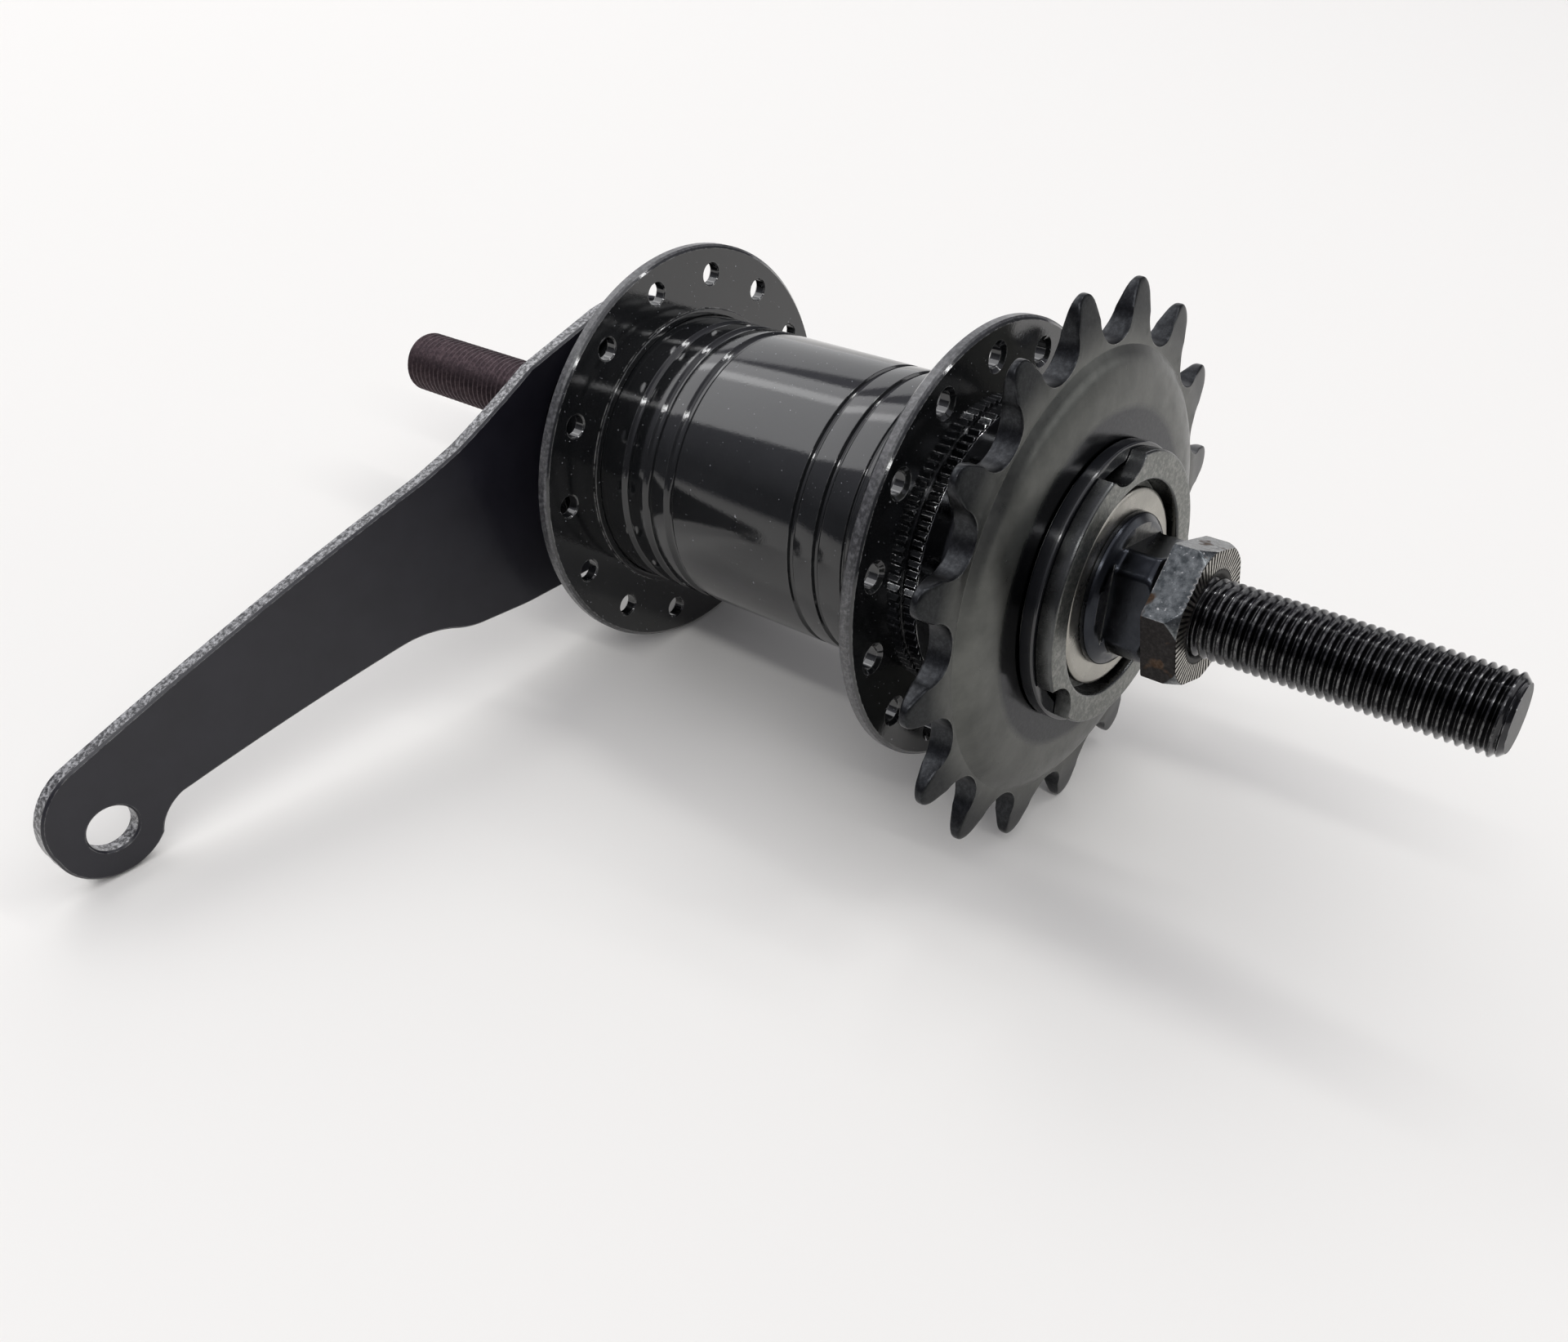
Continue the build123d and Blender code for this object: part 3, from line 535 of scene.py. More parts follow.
def spoke_flange(name, outwards, collar_width=0):
    """A flange with countersunk spoke holes, whose outer face looks outwards: 1 or -1 along the axle.
    A collar of the given width stands against its inner face."""
    radius, y_low, top = span(name)
    y_high = y_low + flange_thickness if outwards < 0 else top
    bore = right_seat_radius if outwards > 0 else left_seat_radius
    low_sink, high_sink = spoke_edge, spoke_countersink
    if outwards < 0:
        low_sink, high_sink = high_sink, low_sink
    loops = [(circle(0, 0, radius, 144), 1, flange_rim_bevel, flange_rim_bevel),
             (circle(0, 0, bore + flange_seat_gap, 96), -1, edge_round, edge_round)]
    for angle in even_angles(spoke_count, radians(spoke_angles[name])):
        hole_x = spoke_circle_radius * cos(angle)
        hole_z = spoke_circle_radius * sin(angle)
        loops.append((circle(hole_x, hole_z, spoke_hole_radius, 28), -1, low_sink, high_sink))
    mesh = bmesh.new()
    plate(mesh, loops, y_low, y_high)
    if collar_width:
        barrel_radius = span("shell_barrel")[0]
        inside = barrel_radius + flange_seat_gap
        outside = barrel_radius + collar_width
        foot = y_high - flange_seat_gap
        ringed(mesh, rounded([(inside, foot), (outside, foot), (outside, top), (inside, top)]),
               even_angles(96))
    return finished("drilled_" + name, mesh)


def knurled_collar():
    """A collar with a band of short straight ribs next to the flange, and a plain lip."""
    radius, y_low, y_high = span("knurled_collar")
    bore = right_seat_radius + flange_seat_gap
    lip_y = y_high - knurl_lip_thickness
    band_start = y_low + knurl_start
    band_end = band_start + knurl_length
    neck = radius - knurl_depth
    corners = [(bore, y_low), (neck, y_low, 0.05), (neck, band_start, 0.05), (radius, band_start, 0.2),
               (radius, band_end, 0.2), (neck, band_end, 0.05), (neck, y_high, 0.4),
               (knurl_lip_radius, y_high), (knurl_lip_radius, lip_y), (bore, lip_y)]

    def shape(radius_here, y, angle):
        from_crest = abs((angle * knurl_ribs / 2 / pi) % 1 - 0.5) * 2
        return min(radius_here, radius - knurl_depth * from_crest), y

    return turned("ribbed_collar", corners, even_angles(knurl_ribs * 4), shape, longest=0.6)


def dust_cap(name, hole, bottom_edge):
    """A pressed cup with a hole in its floor."""
    radius, y_low, y_high = span(name)
    inside = radius - cap_thickness
    floor_y = y_low + cap_thickness
    edge = [(radius - inset, y_low + height, size) for inset, height, size in bottom_edge]
    return turned("pressed_" + name.replace("_dust", ""), [
        (hole, y_low), *edge, (radius, y_high), (inside, y_high), (inside, floor_y), (hole, floor_y)])


# Driver, snap ring and sprocket

def scallop_radius(angle, scallop):
    """How far out a rim reaches at an angle, where round notches of a given radius bite into it."""
    step = 2 * pi / driver_notch_count
    away = (angle - radians(driver_notch_angle) + step / 2) % step - step / 2
    across = driver_notch_circle * sin(away)
    if abs(across) >= scallop or abs(away) > pi / 2:
        return driver_notch_circle
    return driver_notch_circle * cos(away) - sqrt(scallop ** 2 - across ** 2)


def driver():
    """The driver: its screw, races, shoulder, notched rim, snap ring groove and open mouth."""
    shoulder_radius, y_low, face = span("driver")
    ring_low, ring_high = span("snap_ring")[1:]
    sprocket_back = span("sprocket")[2] - tooth_plate_thickness
    groove_low = ring_low - snap_ring_play
    groove_high = ring_high + snap_ring_play
    groove_radius = snap_ring_inner_radius - snap_ring_play
    rim = driver_rim_radius
    mouth_floor = face - driver_mouth_depth
    corners = [(driver_bore_radius, y_low), (driver_screw_radius, y_low),
               (driver_screw_radius, driver_screw_end_y), (driver_neck_radius, driver_screw_end_y),
               (driver_neck_radius, driver_neck_end_y), (driver_inner_shoulder_radius, driver_neck_end_y),
               (driver_inner_shoulder_radius, driver_web_y), (driver_web_radius, driver_web_y),
               (shoulder_radius, sprocket_back - driver_shoulder_thickness, 0.3),
               (shoulder_radius, sprocket_back), (rim, sprocket_back),
               (rim, groove_low), (groove_radius, groove_low),
               (groove_radius, groove_high), (rim, groove_high),
               (rim, face, 0.4), (driver_mouth_radius, face, 0.35),
               (driver_mouth_radius - driver_mouth_draft, mouth_floor), (driver_cup_radius, mouth_floor),
               (driver_cup_radius, face - driver_cup_depth),
               (driver_cup_floor_radius, face - driver_cup_floor_depth),
               (driver_bore_radius, face - driver_bore_depth)]

    def shape(radius, y, angle):
        if y < sprocket_back - same_place or radius < driver_mouth_radius:
            return radius, y
        return min(radius, scallop_radius(angle, driver_notch_radius)), y

    return turned("notched_driver", corners, even_angles(360), shape, longest=1.2)


def snap_ring():
    """An open ring of square section, seated in the driver's groove."""
    radius, y_low, y_high = span("snap_ring")
    half_gap = asin(snap_ring_opening / 2 / radius)
    start = radians(snap_ring_opening_angle) + half_gap
    sweep = 2 * pi - 2 * half_gap
    angles = [start + sweep * i / snap_ring_steps for i in range(snap_ring_steps + 1)]
    bore = snap_ring_inner_radius
    section = ((bore, y_low), (radius, y_low), (radius, y_high), (bore, y_high))
    mesh = bmesh.new()
    ringed(mesh, rounded([(*corner, snap_ring_round) for corner in section]), angles, open_arc=True)
    return finished("open_snap_ring", mesh)


def tooth_flank(tip_radius):
    """The tooth's half width at its tip, and how much that changes with each millimetre outwards."""
    half_pitch = pi / sprocket_teeth
    chain_circle = chain_pitch / 2 / sin(half_pitch)
    throat = chain_circle - tooth_throat_inset
    half_mouth = tip_radius * sin(half_pitch) - tooth_tip_width / 2
    low = Vector((throat * cos(half_pitch) + roller_seat_radius * sin(half_pitch),
                  throat * sin(half_pitch) - roller_seat_radius * cos(half_pitch)))
    high = Vector((tip_radius * cos(half_pitch) + half_mouth * sin(half_pitch),
                   tip_radius * sin(half_pitch) - half_mouth * cos(half_pitch)))
    slope = (high.y - low.y) / (high.x - low.x)
    return low.y + slope * (tip_radius - low.x), slope


def tooth_cap(tip_radius):
    """The round end of a tooth: how far out its centre lies, and its radius."""
    flank_top, flank_slope = tooth_flank(tip_radius)
    stretch = sqrt(1 + flank_slope ** 2)
    size = flank_top / (stretch + flank_slope)
    return tip_radius - size, size


def tooth_points(tip_radius):
    """Half a tooth gap and half a tooth, as (angle from the gap's middle, radius)."""
    half_pitch = pi / sprocket_teeth
    seat_centre = chain_pitch / 2 / sin(half_pitch) - roller_seat_inset
    seat_steps = 9
    cap_steps = 7
    points = []
    for i in range(seat_steps):
        turn = radians(roller_seat_half_angle) * i / (seat_steps - 1)
        x = seat_centre - roller_seat_radius * cos(turn)
        z = roller_seat_radius * sin(turn)
        points.append((atan2(z, x), hypot(x, z)))
    centre, size = tooth_cap(tip_radius)
    lean = atan2(-tooth_flank(tip_radius)[1], 1)
    for i in range(cap_steps):
        turn = (pi / 2 - lean) * (1 - i / (cap_steps - 1))
        x = centre + size * cos(turn)
        z = size * sin(turn)
        points.append((half_pitch - atan2(z, x), hypot(x, z)))
    return points


def sprocket():
    """A dished wheel whose rim is a polar net, drawn out to the outline of the teeth."""
    tip_radius, tooth_back, boss_front = span("sprocket")
    plate_front = tooth_back + tooth_plate_thickness
    boss_back = boss_front - tooth_plate_thickness
    outline_radius = {}
    half = tooth_points(tip_radius)
    pitch = 2 * pi / sprocket_teeth
    whole = half + [(pitch - angle, radius) for angle, radius in reversed(half[1:-1])]
    for start in even_angles(sprocket_teeth, radians(tooth_angle) + pitch / 2):
        for angle, radius in whole:
            outline_radius[start + angle] = radius
    bore = driver_rim_radius + sprocket_play
    rim_inside = rim_foot_radius - 0.1
    rim_outside = rim_foot_radius + same_place
    front = [(bore, boss_front), (boss_face_radius, boss_front, 1.0)]
    front += [(radius, plate_front + height, size) for radius, height, size in dish_front]
    front += [(rim_inside, plate_front, 0.5), (rim_outside, plate_front, 0.001)]
    edge = [(tip_radius, plate_front, tooth_edge_round), (tip_radius, tooth_back, tooth_edge_round)]
    back = [(rim_outside, tooth_back, 0.001), (rim_inside, tooth_back, 1.0),
            (dish_back[0], tooth_back + dish_back[1], dish_back[2]), (boss_back_radius, boss_back, 0.5),
            (bore, boss_back)]

    def bevelled_half(radius):
        """Half the thickness at a radius, which the bevel of the tips makes smaller."""
        share = max(0, (radius - tooth_bevel_start) / (tip_radius - tooth_bevel_start))
        return (tooth_plate_thickness + share * (tooth_tip_thickness - tooth_plate_thickness)) / 2

    def shape(radius, y, angle):
        if radius <= bore + same_place:
            return min(radius, scallop_radius(angle, sprocket_lug_radius)), y
        if radius <= rim_foot_radius:
            return radius, y
        share = (radius - rim_foot_radius) / (tip_radius - rim_foot_radius)
        moved = rim_foot_radius + share * (outline_radius[angle] - rim_foot_radius)
        middle = (plate_front + tooth_back) / 2
        return moved, middle + (y - middle) * bevelled_half(moved) / (tooth_plate_thickness / 2)

    corners = front + edge + back
    return turned("dished_sprocket", corners, sorted(outline_radius), shape, longest=1.1, sharp=28)


# Brake arm

def arc(start, middle, end, steps=14):
    """Points of the circle through three points, without the last one."""
    a, b, c = Vector(start), Vector(middle), Vector(end)
    ab, ac = b - a, c - a
    cross = 2 * (ab.x * ac.y - ab.y * ac.x)
    centre = a + Vector((ac.y * ab.length_squared - ab.y * ac.length_squared,
                         ab.x * ac.length_squared - ac.x * ab.length_squared)) / cross
    radius = (a - centre).length
    first = atan2(a.y - centre.y, a.x - centre.x)
    last = atan2(c.y - centre.y, c.x - centre.x)
    if cross > 0:
        sweep = (last - first) % (2 * pi)
    else:
        sweep = -((first - last) % (2 * pi))
    turns = [first + sweep * i / steps for i in range(steps)]
    return [(centre.x + radius * cos(turn), centre.y + radius * sin(turn)) for turn in turns]


def arm_outline():
    """The arm's flat outline, clockwise from the top of its hub, with the tip's hole on the x axis."""
    hub_top = (0, arm_hub_radius)
    shoulder = (13.0, arm_hub_radius - 0.1)
    waist = (34.5, 15.6)
    tip_start = (arm_hole_reach + 0.7, 10.3)
    tip_end = (arm_hole_reach + arm_tip_overhang, 0.6)
    eye_angle = radians(arm_eye_end_angle)
    eye_end = (arm_hole_reach + arm_eye_radius * cos(eye_angle), arm_eye_radius * sin(eye_angle))
    heel = (arm_hole_reach - 9.0, -1.9)
    step_top = (47.5, -4.4)
    step_middle = (39.2, -7.7)
    step_foot = (35.0, -9.8)
    slope = radians(arm_lower_edge_slope)
    hub_low = (arm_hub_radius * sin(slope), -arm_hub_radius * cos(slope))
    points = [hub_top]
    points += arc(shoulder, (22.2, 17.4), waist)
    points += arc(waist, (66.0, 13.3), tip_start, 30)
    points += arc(tip_start, (arm_hole_reach + 5.7, 6.8), tip_end)
    points += arc(tip_end, (arm_hole_reach + 2.4, -arm_eye_radius + 0.3), eye_end, 20)
    points += arc(eye_end, (arm_hole_reach - 6.5, -2.9), heel)
    points += arc(heel, (64.5, -2.8), step_top, 20)
    points += arc(step_top, (42.6, -5.7), step_middle)
    points += arc(step_middle, (37.3, -8.9), step_foot)
    points.append(step_foot)
    points += arc(hub_low, (-arm_hub_radius, 0), hub_top, 60)
    return list(reversed(points[1:]))


def bent_drop(reach, radius, bend_start):
    """How far outboard a face lies at a reach along the arm. radius is its radius in the bend."""
    angle = radians(arm_bend_angle)
    past = reach - bend_start
    if past <= 0:
        return 0
    if past < radius * sin(angle):
        return radius - sqrt(radius ** 2 - past ** 2)
    return radius * (1 - cos(angle)) + (past - radius * sin(angle)) * tan(angle)


def arm_key():
    """The outline of the square hole, with round corners, that the brake cone's boss keys into."""
    points = []
    for angle in even_angles(64):
        flats = flats_radius(arm_key_across_flats, 4, angle, radians(45))
        radius = min(arm_key_corner_radius, flats)
        points.append((radius * cos(angle), radius * sin(angle)))
    return points


def brake_arm():
    """The arm's plate, cut across in its bend and then bent outboard."""
    outer_face = span("arm_washer")[2]
    loops = [(arm_outline(), 1, arm_edge_round, arm_edge_round), (arm_key(), -1, arm_key_edge, arm_key_edge),
             (circle(arm_hole_reach, 0, arm_hole_radius, 48), -1, arm_hole_edge, arm_hole_edge)]
    mesh = bmesh.new()
    plate(mesh, loops, outer_face, outer_face + arm_thickness)
    inner_radius = arm_bend_radius + arm_thickness
    bend_start = arm_bend_reach - inner_radius * tan(radians(arm_bend_angle / 2))
    bend_length = inner_radius * sin(radians(arm_bend_angle))
    for i in range(arm_bend_cuts + 1):
        reach = bend_start + bend_length * i / arm_bend_cuts
        geometry = mesh.verts[:] + mesh.edges[:] + mesh.faces[:]
        bmesh.ops.bisect_plane(mesh, geom=geometry, plane_no=(1, 0, 0), plane_co=(reach * MM, 0, 0))
    for vertex in mesh.verts:
        reach = vertex.co.x / MM
        share = (vertex.co.y / MM - outer_face) / arm_thickness
        drop = (1 - share) * bent_drop(reach, arm_bend_radius, bend_start)
        drop += share * bent_drop(reach, inner_radius, bend_start)
        vertex.co.y -= drop * MM
    turn = Matrix.Rotation(radians(-arm_angle), 4, "Y")
    bmesh.ops.transform(mesh, matrix=turn, verts=mesh.verts)
    return finished("bent_arm", mesh)


# Materials

def node(tree, kind, **values):
    """A shader node with its settings and its inputs' values."""
    made = tree.nodes.new(kind)
    for key, value in values.items():
        if key in made.inputs:
            made.inputs[key].default_value = value
        else:
            setattr(made, key, value)
    return made


def noise(tree, place_socket, spots, detail=4.0, roughness=0.6):
    texture = node(tree, "ShaderNodeTexNoise", Scale=spots, Detail=detail, Roughness=roughness)
    tree.links.new(place_socket, texture.inputs["Vector"])
    return texture.outputs["Fac"]


def remapped(tree, socket, low, high, to_low=0.0, to_high=1.0):
    """The socket's value, moved from the range low to high into another range."""
    made = node(tree, "ShaderNodeMapRange")
    for name, value in (("From Min", low), ("From Max", high), ("To Min", to_low), ("To Max", to_high)):
        made.inputs[name].default_value = value
    tree.links.new(socket, made.inputs["Value"])
    return made.outputs["Result"]


def feed(tree, socket, value):
    """Links a socket to another, or sets it to a plain value."""
    if isinstance(value, bpy.types.NodeSocket):
        tree.links.new(value, socket)
    else:
        socket.default_value = value


def mixed(tree, share, first, second, kind="RGBA"):
    """A colour between two by a share, or a number between two where the kind is FLOAT."""
    made = node(tree, "ShaderNodeMix", data_type=kind)
    for name, value in (("Factor", share), ("A", first), ("B", second)):
        feed(tree, [s for s in made.inputs if s.name == name and s.enabled][0], value)
    return [s for s in made.outputs if s.enabled][0]


def multiplied(tree, first, second):
    made = node(tree, "ShaderNodeMath", operation="MULTIPLY", use_clamp=True)
    feed(tree, made.inputs[0], first)
    feed(tree, made.inputs[1], second)
    return made.outputs[0]


def vector_math(tree, operation, first, second=(0, 0, 0)):
    made = node(tree, "ShaderNodeVectorMath", operation=operation)
    feed(tree, made.inputs[0], first)
    feed(tree, made.inputs[1], second)
    return [s for s in made.outputs if s.enabled][0]


def worn_and_glinting_edges(tree, width, place_socket):
    """A mask that is 1 on edges, where a rounded normal leaves the true one, broken up by noise."""
    bevel = node(tree, "ShaderNodeBevel", Radius=width * MM, samples=6)
    geometry = node(tree, "ShaderNodeNewGeometry")
    likeness = vector_math(tree, "DOT_PRODUCT", bevel.outputs["Normal"], geometry.outputs["Normal"])
    edge = remapped(tree, likeness, 0.98, 0.85)
    broken = remapped(tree, noise(tree, place_socket, edge_spots, 5, 0.7), 0.42, 0.58)
    return multiplied(tree, edge, broken)


def coordinates(tree, output):
    """Texture coordinates. Object and Normal are the piece's own, and stay with it when it moves."""
    return node(tree, "ShaderNodeTexCoord").outputs[output]


def one_axis(tree, vector, axis):
    parts = node(tree, "ShaderNodeSeparateXYZ")
    feed(tree, parts.inputs[0], vector)
    return parts.outputs[axis]


def facing_axle(tree, low, high):
    """A mask that goes from 0 to 1 as the surface's normal goes from low to high along the axle."""
    normal = vector_math(tree, "ABSOLUTE", coordinates(tree, "Normal"))
    return remapped(tree, one_axis(tree, normal, "Y"), low, high)


def from_axle(tree, low, high):
    """A mask that goes from 0 to 1 as the distance from the axle goes from low to high."""
    across = vector_math(tree, "MULTIPLY", coordinates(tree, "Object"), (1, 0, 1))
    return remapped(tree, vector_math(tree, "LENGTH", across), low * MM, high * MM)


def painted_shade_mask(tree, low, high):
    """A mask of the nut's side that is painted darker as shade, by how squarely its normal points there."""
    angle = radians(nut_painted_shade_angle)
    side = (cos(angle), 0, sin(angle))
    return remapped(tree, vector_math(tree, "DOT_PRODUCT", coordinates(tree, "Normal"), side), low, high)


def leaning_faces(tree, low, high):
    """A mask of what leans towards the axle's ends, where the distance from the axle passes the limits."""
    return multiplied(tree, facing_axle(tree, 0.25, 0.35), from_axle(tree, low, high))


def square_faces(tree, low, high):
    """A mask of what lies square across the axle, where the distance from it passes the limits."""
    return multiplied(tree, facing_axle(tree, 0.93, 0.97), from_axle(tree, low, high))


def along_axle(tree, low, high):
    """A mask that goes from 0 to 1 as the place along the axle goes from low to high."""
    return remapped(tree, one_axis(tree, coordinates(tree, "Object"), "Y"), low * MM, high * MM)


def rusted(tree, low, high):
    """A mask of a few patches, where a coarse noise passes the limits."""
    return remapped(tree, noise(tree, coordinates(tree, "Object"), rust_spots, 3), low, high)


def metal(name, dark, light, roughness, spread=0.08, metallic=1.0, edge=None, edge_width=0.3,
          grain=0.02, specks=None, spots=tone_spots, zones=(), ior=1.5):
    """A blackened or bare metal: two tones mixed by noise, uneven gloss, fine bump and lighter edges, which
    are worn, and on the knurl and the thread also painted glints.
    Each zone is a mask's function with its limits, then the two speckled tones and gloss there."""
    material = bpy.data.materials.new(name)
    material.use_nodes = True
    tree = material.node_tree
    shader = tree.nodes["Principled BSDF"]
    place_socket = coordinates(tree, "Object")
    cloud = remapped(tree, noise(tree, place_socket, spots), 0.35, 0.65)
    colour = mixed(tree, cloud, (*dark, 1), (*light, 1))
    gloss = remapped(tree, noise(tree, place_socket, spots * gloss_spots_share, 6, 0.7), 0.3, 0.7,
                     roughness - spread, roughness + spread)
    if specks:
        amount, speck_colour = specks
        grit = noise(tree, place_socket, grit_spots, 2, 0.5)
        dots = remapped(tree, grit, 0.74 - amount, 0.78 - amount)
        colour = mixed(tree, dots, colour, (*speck_colour, 1))
    if edge:
        mask = worn_and_glinting_edges(tree, edge_width, place_socket)
        colour = mixed(tree, mask, colour, (*edge, 1))
    for mask_kind, low, high, zone_dark, zone_light, zone_roughness in zones:
        mask = mask_kind(tree, low, high)
        speckle = remapped(tree, noise(tree, place_socket, zone_spots, 5, 0.75), 0.44, 0.64)
        colour = mixed(tree, mask, colour, mixed(tree, speckle, (*zone_dark, 1), (*zone_light, 1)))
        gloss = mixed(tree, mask, gloss, zone_roughness, "FLOAT")
    tree.links.new(colour, shader.inputs["Base Color"])
    tree.links.new(gloss, shader.inputs["Roughness"])
    shader.inputs["Metallic"].default_value = metallic
    shader.inputs["IOR"].default_value = ior
    bump = node(tree, "ShaderNodeBump", Strength=0.35, Distance=grain * MM)
    tree.links.new(noise(tree, place_socket, bump_spots, 4, 0.65), bump.inputs["Height"])
    tree.links.new(bump.outputs["Normal"], shader.inputs["Normal"])
    return material


def materials():
    """Every finish of the hub. All but the flanges' have the name of their slot in the record."""
    grey = (0.32, 0.32, 0.31)
    speck = (0.3, 0.31, 0.33)
    lacquer = ((0.006, 0.0065, 0.007), (0.01, 0.0105, 0.011))
    flange_rim = span("left_flange")[0] - 0.25
    thread_crest = span("axle")[0] - 0.03
    nut_ring = nut_serration_start + 0.1
    sheared = (facing_axle, 0.5, 0.3, (0.035, 0.035, 0.037), (0.48, 0.48, 0.485), 0.32)
    rim = (from_axle, flange_rim - 0.05, flange_rim + 0.05, (0.02, 0.02, 0.022), (0.11, 0.11, 0.115), 0.34)
    # Painted shade: the nut's side that faces out along +X, a little downwards, is darkened
    nut_painted_shade = (painted_shade_mask, 0.95, 0.98, (0.022, 0.02, 0.02), (0.04, 0.037, 0.036), 0.35)
    valleys = (leaning_faces, nut_face_radius + 0.05, nut_face_radius - 0.05,
               (0.018, 0.017, 0.016), (0.04, 0.037, 0.034), 0.5)
    ridges = (square_faces, nut_ring - 0.05, nut_ring + 0.05,
              (0.3, 0.285, 0.26), (0.55, 0.53, 0.48), 0.3)
    shoulder = (facing_axle, 0.95, 0.98, (0.1, 0.1, 0.095), (0.17, 0.17, 0.16), 0.3)
    # The thread's crests are painted lighter: partly real wear, partly painted highlight
    crest = (from_axle, thread_crest - 0.11, thread_crest,
             (0.035, 0.035, 0.037), (0.16, 0.16, 0.16), 0.2)
    rust = (rusted, 0.62, 0.68, (0.07, 0.045, 0.03), (0.13, 0.09, 0.065), 0.6)
    face_worn = (facing_axle, 0.9, 0.97, (0.13, 0.135, 0.125), (0.26, 0.26, 0.24), 0.36)
    teeth = (from_axle, rim_foot_radius, rim_foot_radius + 4,
             (0.022, 0.023, 0.024), (0.034, 0.036, 0.037), 0.34)
    tooth_side = (facing_axle, 0.8, 0.5, (0.026, 0.027, 0.029), (0.045, 0.047, 0.05), 0.34)
    # Painted shade: the boss ring's colour is darkened, and the ring is also glossier
    glossy_boss_painted_shade = (from_axle, boss_face_radius - 0.1, boss_face_radius - 1.1,
                  (0.026, 0.027, 0.03), (0.042, 0.043, 0.046), 0.18)
    left_end = (along_axle, -40, -44, (0.06, 0.045, 0.05), (0.11, 0.08, 0.087), 0.5)
    end_face = (facing_axle, 0.94, 0.98, (0.015, 0.016, 0.016), (0.06, 0.062, 0.06), 0.4)
    return {
        "shell_black": metal("gloss black shell", *lacquer, 0.07, 0.03, metallic=0.0, ior=1.62,
                             specks=(0.01, speck), edge=grey, edge_width=0.2),
        "flange_black": metal("gloss black flange", *lacquer, 0.07, 0.03, metallic=0.0, ior=1.7,
                              specks=(0.02, speck), edge=grey, zones=[rim]),
        "arm_black": metal("satin black arm", (0.0095, 0.009, 0.014), (0.013, 0.0125, 0.0185), 0.38, 0.04,
                           metallic=0.0, edge=grey, edge_width=0.25, zones=[sheared]),
        "sprocket_steel": metal("blackened sprocket", (0.085, 0.087, 0.081), (0.125, 0.127, 0.118),
                                0.32, 0.06, edge=grey, edge_width=0.35,
                                zones=[teeth, tooth_side, glossy_boss_painted_shade]),
        "driver_steel": metal("driver steel", (0.06, 0.062, 0.062), (0.1, 0.102, 0.1), 0.26, 0.08,
                              edge=grey, zones=[face_worn]),
        "ring_black": metal("snap ring black", (0.006, 0.0065, 0.008), (0.01, 0.0105, 0.012), 0.12, 0.04,
                            metallic=0.0, ior=1.6, edge=grey, edge_width=0.15),
        "cone_steel": metal("blue black cone", (0.026, 0.028, 0.033), (0.045, 0.048, 0.055), 0.22, 0.07,
                            edge=grey, zones=[shoulder]),
        "nut_steel": metal("grey nut", (0.05, 0.056, 0.06), (0.17, 0.18, 0.185), 0.28, 0.1,
                           edge=(0.45, 0.44, 0.42), edge_width=0.25, spots=1100,
                           specks=(0.06, (0.4, 0.4, 0.4)), zones=[nut_painted_shade, rust, valleys, ridges]),
        "disc_steel": metal("pale disc", (0.31, 0.3, 0.27), (0.39, 0.375, 0.335), 0.3, 0.08),
        # The thread's light crests and edges: partly real wear, partly painted highlights
        "axle_black": metal("black thread with painted highlights", (0.03, 0.03, 0.032), (0.05, 0.05, 0.052), 0.14, 0.05,
                            edge=(0.5, 0.5, 0.5), edge_width=0.12, zones=[crest, left_end, end_face]),
        # The knurl's near-white rib edges are painted glints, over some real edge wear
        "knurl_black": metal("black knurl with painted glints", (0.035, 0.036, 0.038), (0.07, 0.072, 0.075), 0.12, 0.05,
                             edge=(0.9, 0.9, 0.9), edge_width=0.25),
        "cap_black": metal("black cap", (0.02, 0.02, 0.021), (0.03, 0.03, 0.031), 0.25, 0.07),
        "inner_steel": metal("ground steel", (0.3, 0.3, 0.29), (0.4, 0.4, 0.38), 0.28, 0.08),
        "shoe_steel": metal("brake shoe", (0.16, 0.14, 0.12), (0.24, 0.21, 0.18), 0.45, 0.1),
        "spring_steel": metal("spring steel", (0.2, 0.21, 0.23), (0.3, 0.31, 0.33), 0.3, 0.08),
        "ball_steel": metal("ball steel", (0.62, 0.62, 0.61), (0.68, 0.68, 0.67), 0.1, 0.04, grain=0.002),
        "cage_steel": metal("cage steel", (0.35, 0.34, 0.32), (0.45, 0.44, 0.41), 0.35, 0.08),
    }


# Dressing the frame

def dress(piece, body, slot, *nodes, finish=None):
    """Gives a piece its body, its finish and the nodes that it stands for."""
    piece.data.materials.append(finishes[finish or slot])
    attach(piece, body)
    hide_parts(*nodes)


finishes = materials()
dress(axle(), "axle_set", "axle_black", "axle")
dress(locknut("drive_locknut", 1), "axle_set", "nut_steel", "drive_locknut")
dress(locknut("arm_locknut", -1), "axle_set", "nut_steel", "arm_locknut")
dress(washer(), "axle_set", "nut_steel", "arm_washer")
dress(drive_cone(), "axle_set", "cone_steel", "drive_cone")
dress(dust_disc(), "axle_set", "disc_steel", "drive_dust_disc")
dress(brake_arm(), "axle_set", "arm_black", "brake_arm")
dress(barrel(), "shell", "shell_black", "shell_barrel")
dress(spoke_flange("left_flange", -1, left_collar_width), "shell", "shell_black", "left_flange",
      finish="flange_black")
dress(spoke_flange("right_flange", 1), "shell", "shell_black", "right_flange", finish="flange_black")
dress(dust_cap("left_dust_cap", left_cap_hole_radius, left_cap_edge), "shell", "cap_black", "left_dust_cap")
dress(knurled_collar(), "shell", "knurl_black", "knurled_collar")
dress(driver(), "driver", "driver_steel", "driver")
dress(dust_cap("driver_dust_cap", driver_cap_hole_radius, driver_cap_edge), "driver", "cap_black",
      "driver_dust_cap")
dress(snap_ring(), "driver", "ring_black", "snap_ring")
dress(sprocket(), "driver", "sprocket_steel", "sprocket")


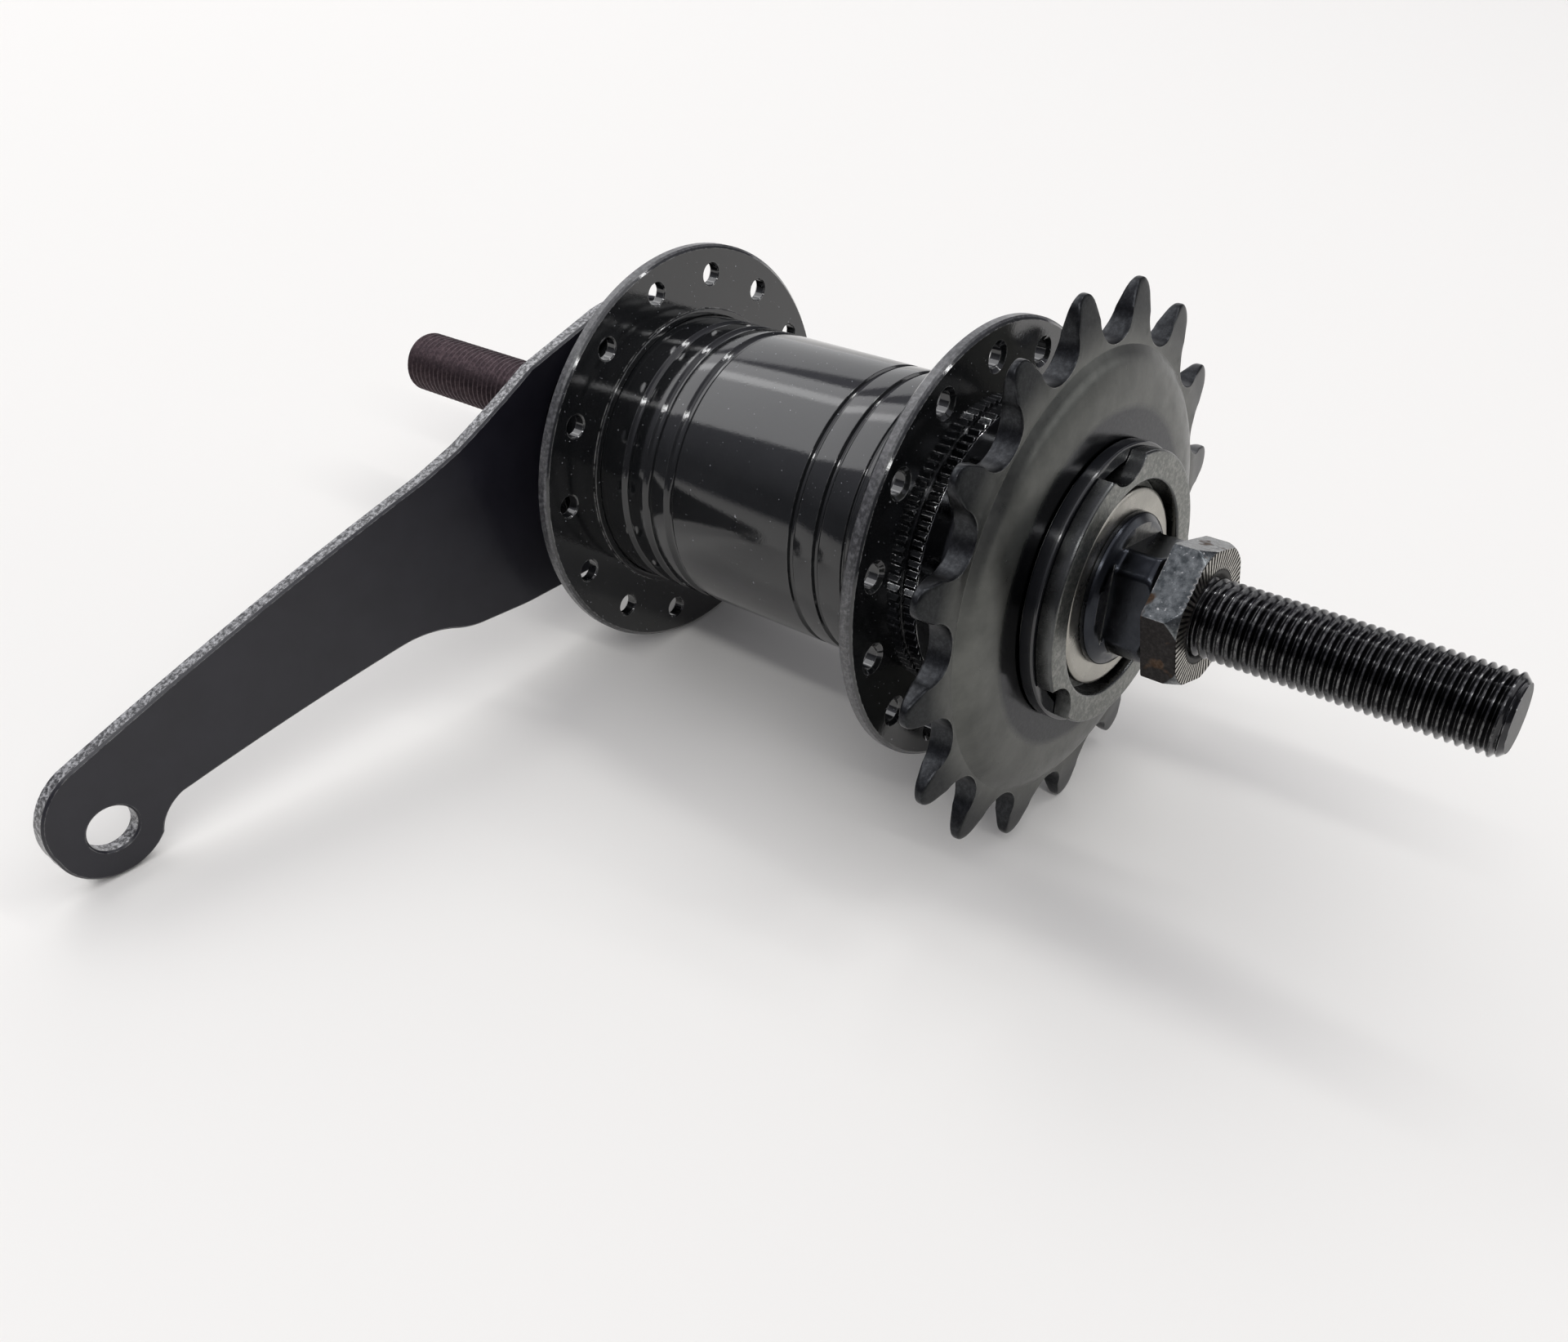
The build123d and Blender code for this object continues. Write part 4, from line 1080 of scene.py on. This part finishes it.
# The inner nodes that stay as the frame has them, under the finish that each gets
kept_nodes = {
    "cone_steel": ["brake_cone"],
    "inner_steel": ["shoe_expander", "left_ball_cup", "right_ball_cup", "drive_ring", "clutch_cone"],
    "spring_steel": ["drag_spring"],
    "shoe_steel": ["upper_brake_shoe", "lower_brake_shoe"],
    "ball_steel": ["left_balls", "right_balls", "driver_balls"],
    "cage_steel": ["left_ball_cage", "right_ball_cage", "driver_ball_cage"],
}
for kept_slot, kept_names in kept_nodes.items():
    for kept_name in kept_names:
        kept_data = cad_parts[kept_name].data
        kept_data.materials.clear()
        kept_data.materials.append(finishes[kept_slot])


# Floor, light and camera

def floor_plane():
    """The surface that the hub rests on: the plane under its arm, left flange and sprocket."""
    resting = ("brake_arm", "left_flange", "sprocket")
    corners = {name: [v.co.copy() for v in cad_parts[name].data.vertices] for name in resting}
    up = Vector((0, 0, 1))
    for _ in range(8):
        feet = [min(corners[name], key=lambda corner: corner.dot(up)) for name in resting]
        up = (feet[1] - feet[0]).cross(feet[2] - feet[0]).normalized()
        if up.z < 0:
            up = -up
    return feet[0], up


def floor():
    foot, up = floor_plane()
    mesh = bmesh.new()
    bmesh.ops.create_grid(mesh, x_segments=8, y_segments=8, size=floor_half_size)
    turn = up.to_track_quat("Z", "Y").to_matrix().to_4x4()
    bmesh.ops.transform(mesh, matrix=Matrix.Translation(up * foot.dot(up)) @ turn, verts=mesh.verts)
    piece = finished("floor", mesh)
    material = bpy.data.materials.new("pale floor")
    material.use_nodes = True
    shader = material.node_tree.nodes["Principled BSDF"]
    shader.inputs["Base Color"].default_value = floor_colour
    shader.inputs["Roughness"].default_value = 0.9
    piece.data.materials.append(material)


def softbox(name, centre, facing, size, brightness):
    """A rectangular soft lamp in metres. Its brightness is what a mirror would show of it."""
    data = bpy.data.lights.new(name, "AREA")
    data.shape = "RECTANGLE"
    data.size, data.size_y = size
    data.energy = brightness * pi * size[0] * size[1]
    piece = added(name, data)
    piece.location = centre
    piece.rotation_mode = "QUATERNION"
    piece.rotation_quaternion = Vector(facing).to_track_quat("-Z", "Y")
    piece.visible_camera = False
    return piece


def strip_light(start, end):
    """A long thin lamp between two directions, each given by its angle round the part and its height."""
    ends = []
    for azimuth, height in (start, end):
        level = cos(radians(height))
        ends.append(Vector((level * cos(radians(azimuth)), level * sin(radians(azimuth)),
                            sin(radians(height)))) * strip_lamp_distance)
    centre = (ends[0] + ends[1]) / 2
    length = (ends[1] - ends[0]).length
    along = (ends[1] - ends[0]).normalized()
    outwards = centre.normalized()
    piece = softbox("strip lamp", centre, -outwards, (length, strip_lamp_width), strip_lamp_brightness)
    across = outwards.cross(along)
    piece.rotation_quaternion = Matrix((along, across, outwards)).transposed().to_quaternion()


def room_light():
    """The world: dim below and at the horizon, brighter overhead."""
    world = bpy.data.worlds.new("studio")
    world.use_nodes = True
    tree = world.node_tree
    height = one_axis(tree, coordinates(tree, "Generated"), "Z")
    strength = remapped(tree, height, room_horizon_height, room_sky_height,
                        room_horizon_strength, room_sky_strength)
    tree.links.new(strength, tree.nodes["Background"].inputs["Strength"])
    tree.nodes["Background"].inputs["Color"].default_value = room_colour
    bpy.context.scene.world = world


def studio():
    floor()
    for name, lamp in soft_lamps.items():
        softbox(name, *lamp)
    for start, end in strip_lamp_ends:
        strip_light(start, end)
    room_light()


def camera():
    data = bpy.data.cameras.new("camera")
    data.lens = camera_lens
    data.sensor_width = camera_sensor
    data.sensor_fit = "HORIZONTAL"
    data.clip_start = 0.01
    piece = added("camera", data)
    piece.location = Vector(camera_place) * MM
    piece.rotation_mode = "QUATERNION"
    level = Vector(camera_forward).to_track_quat("-Z", "Y")
    roll = Matrix.Rotation(radians(-camera_roll), 3, "Z").to_quaternion()
    piece.rotation_quaternion = level @ roll
    bpy.context.scene.camera = piece


studio()
camera()
bpy.context.scene.view_settings.view_transform = "Standard"
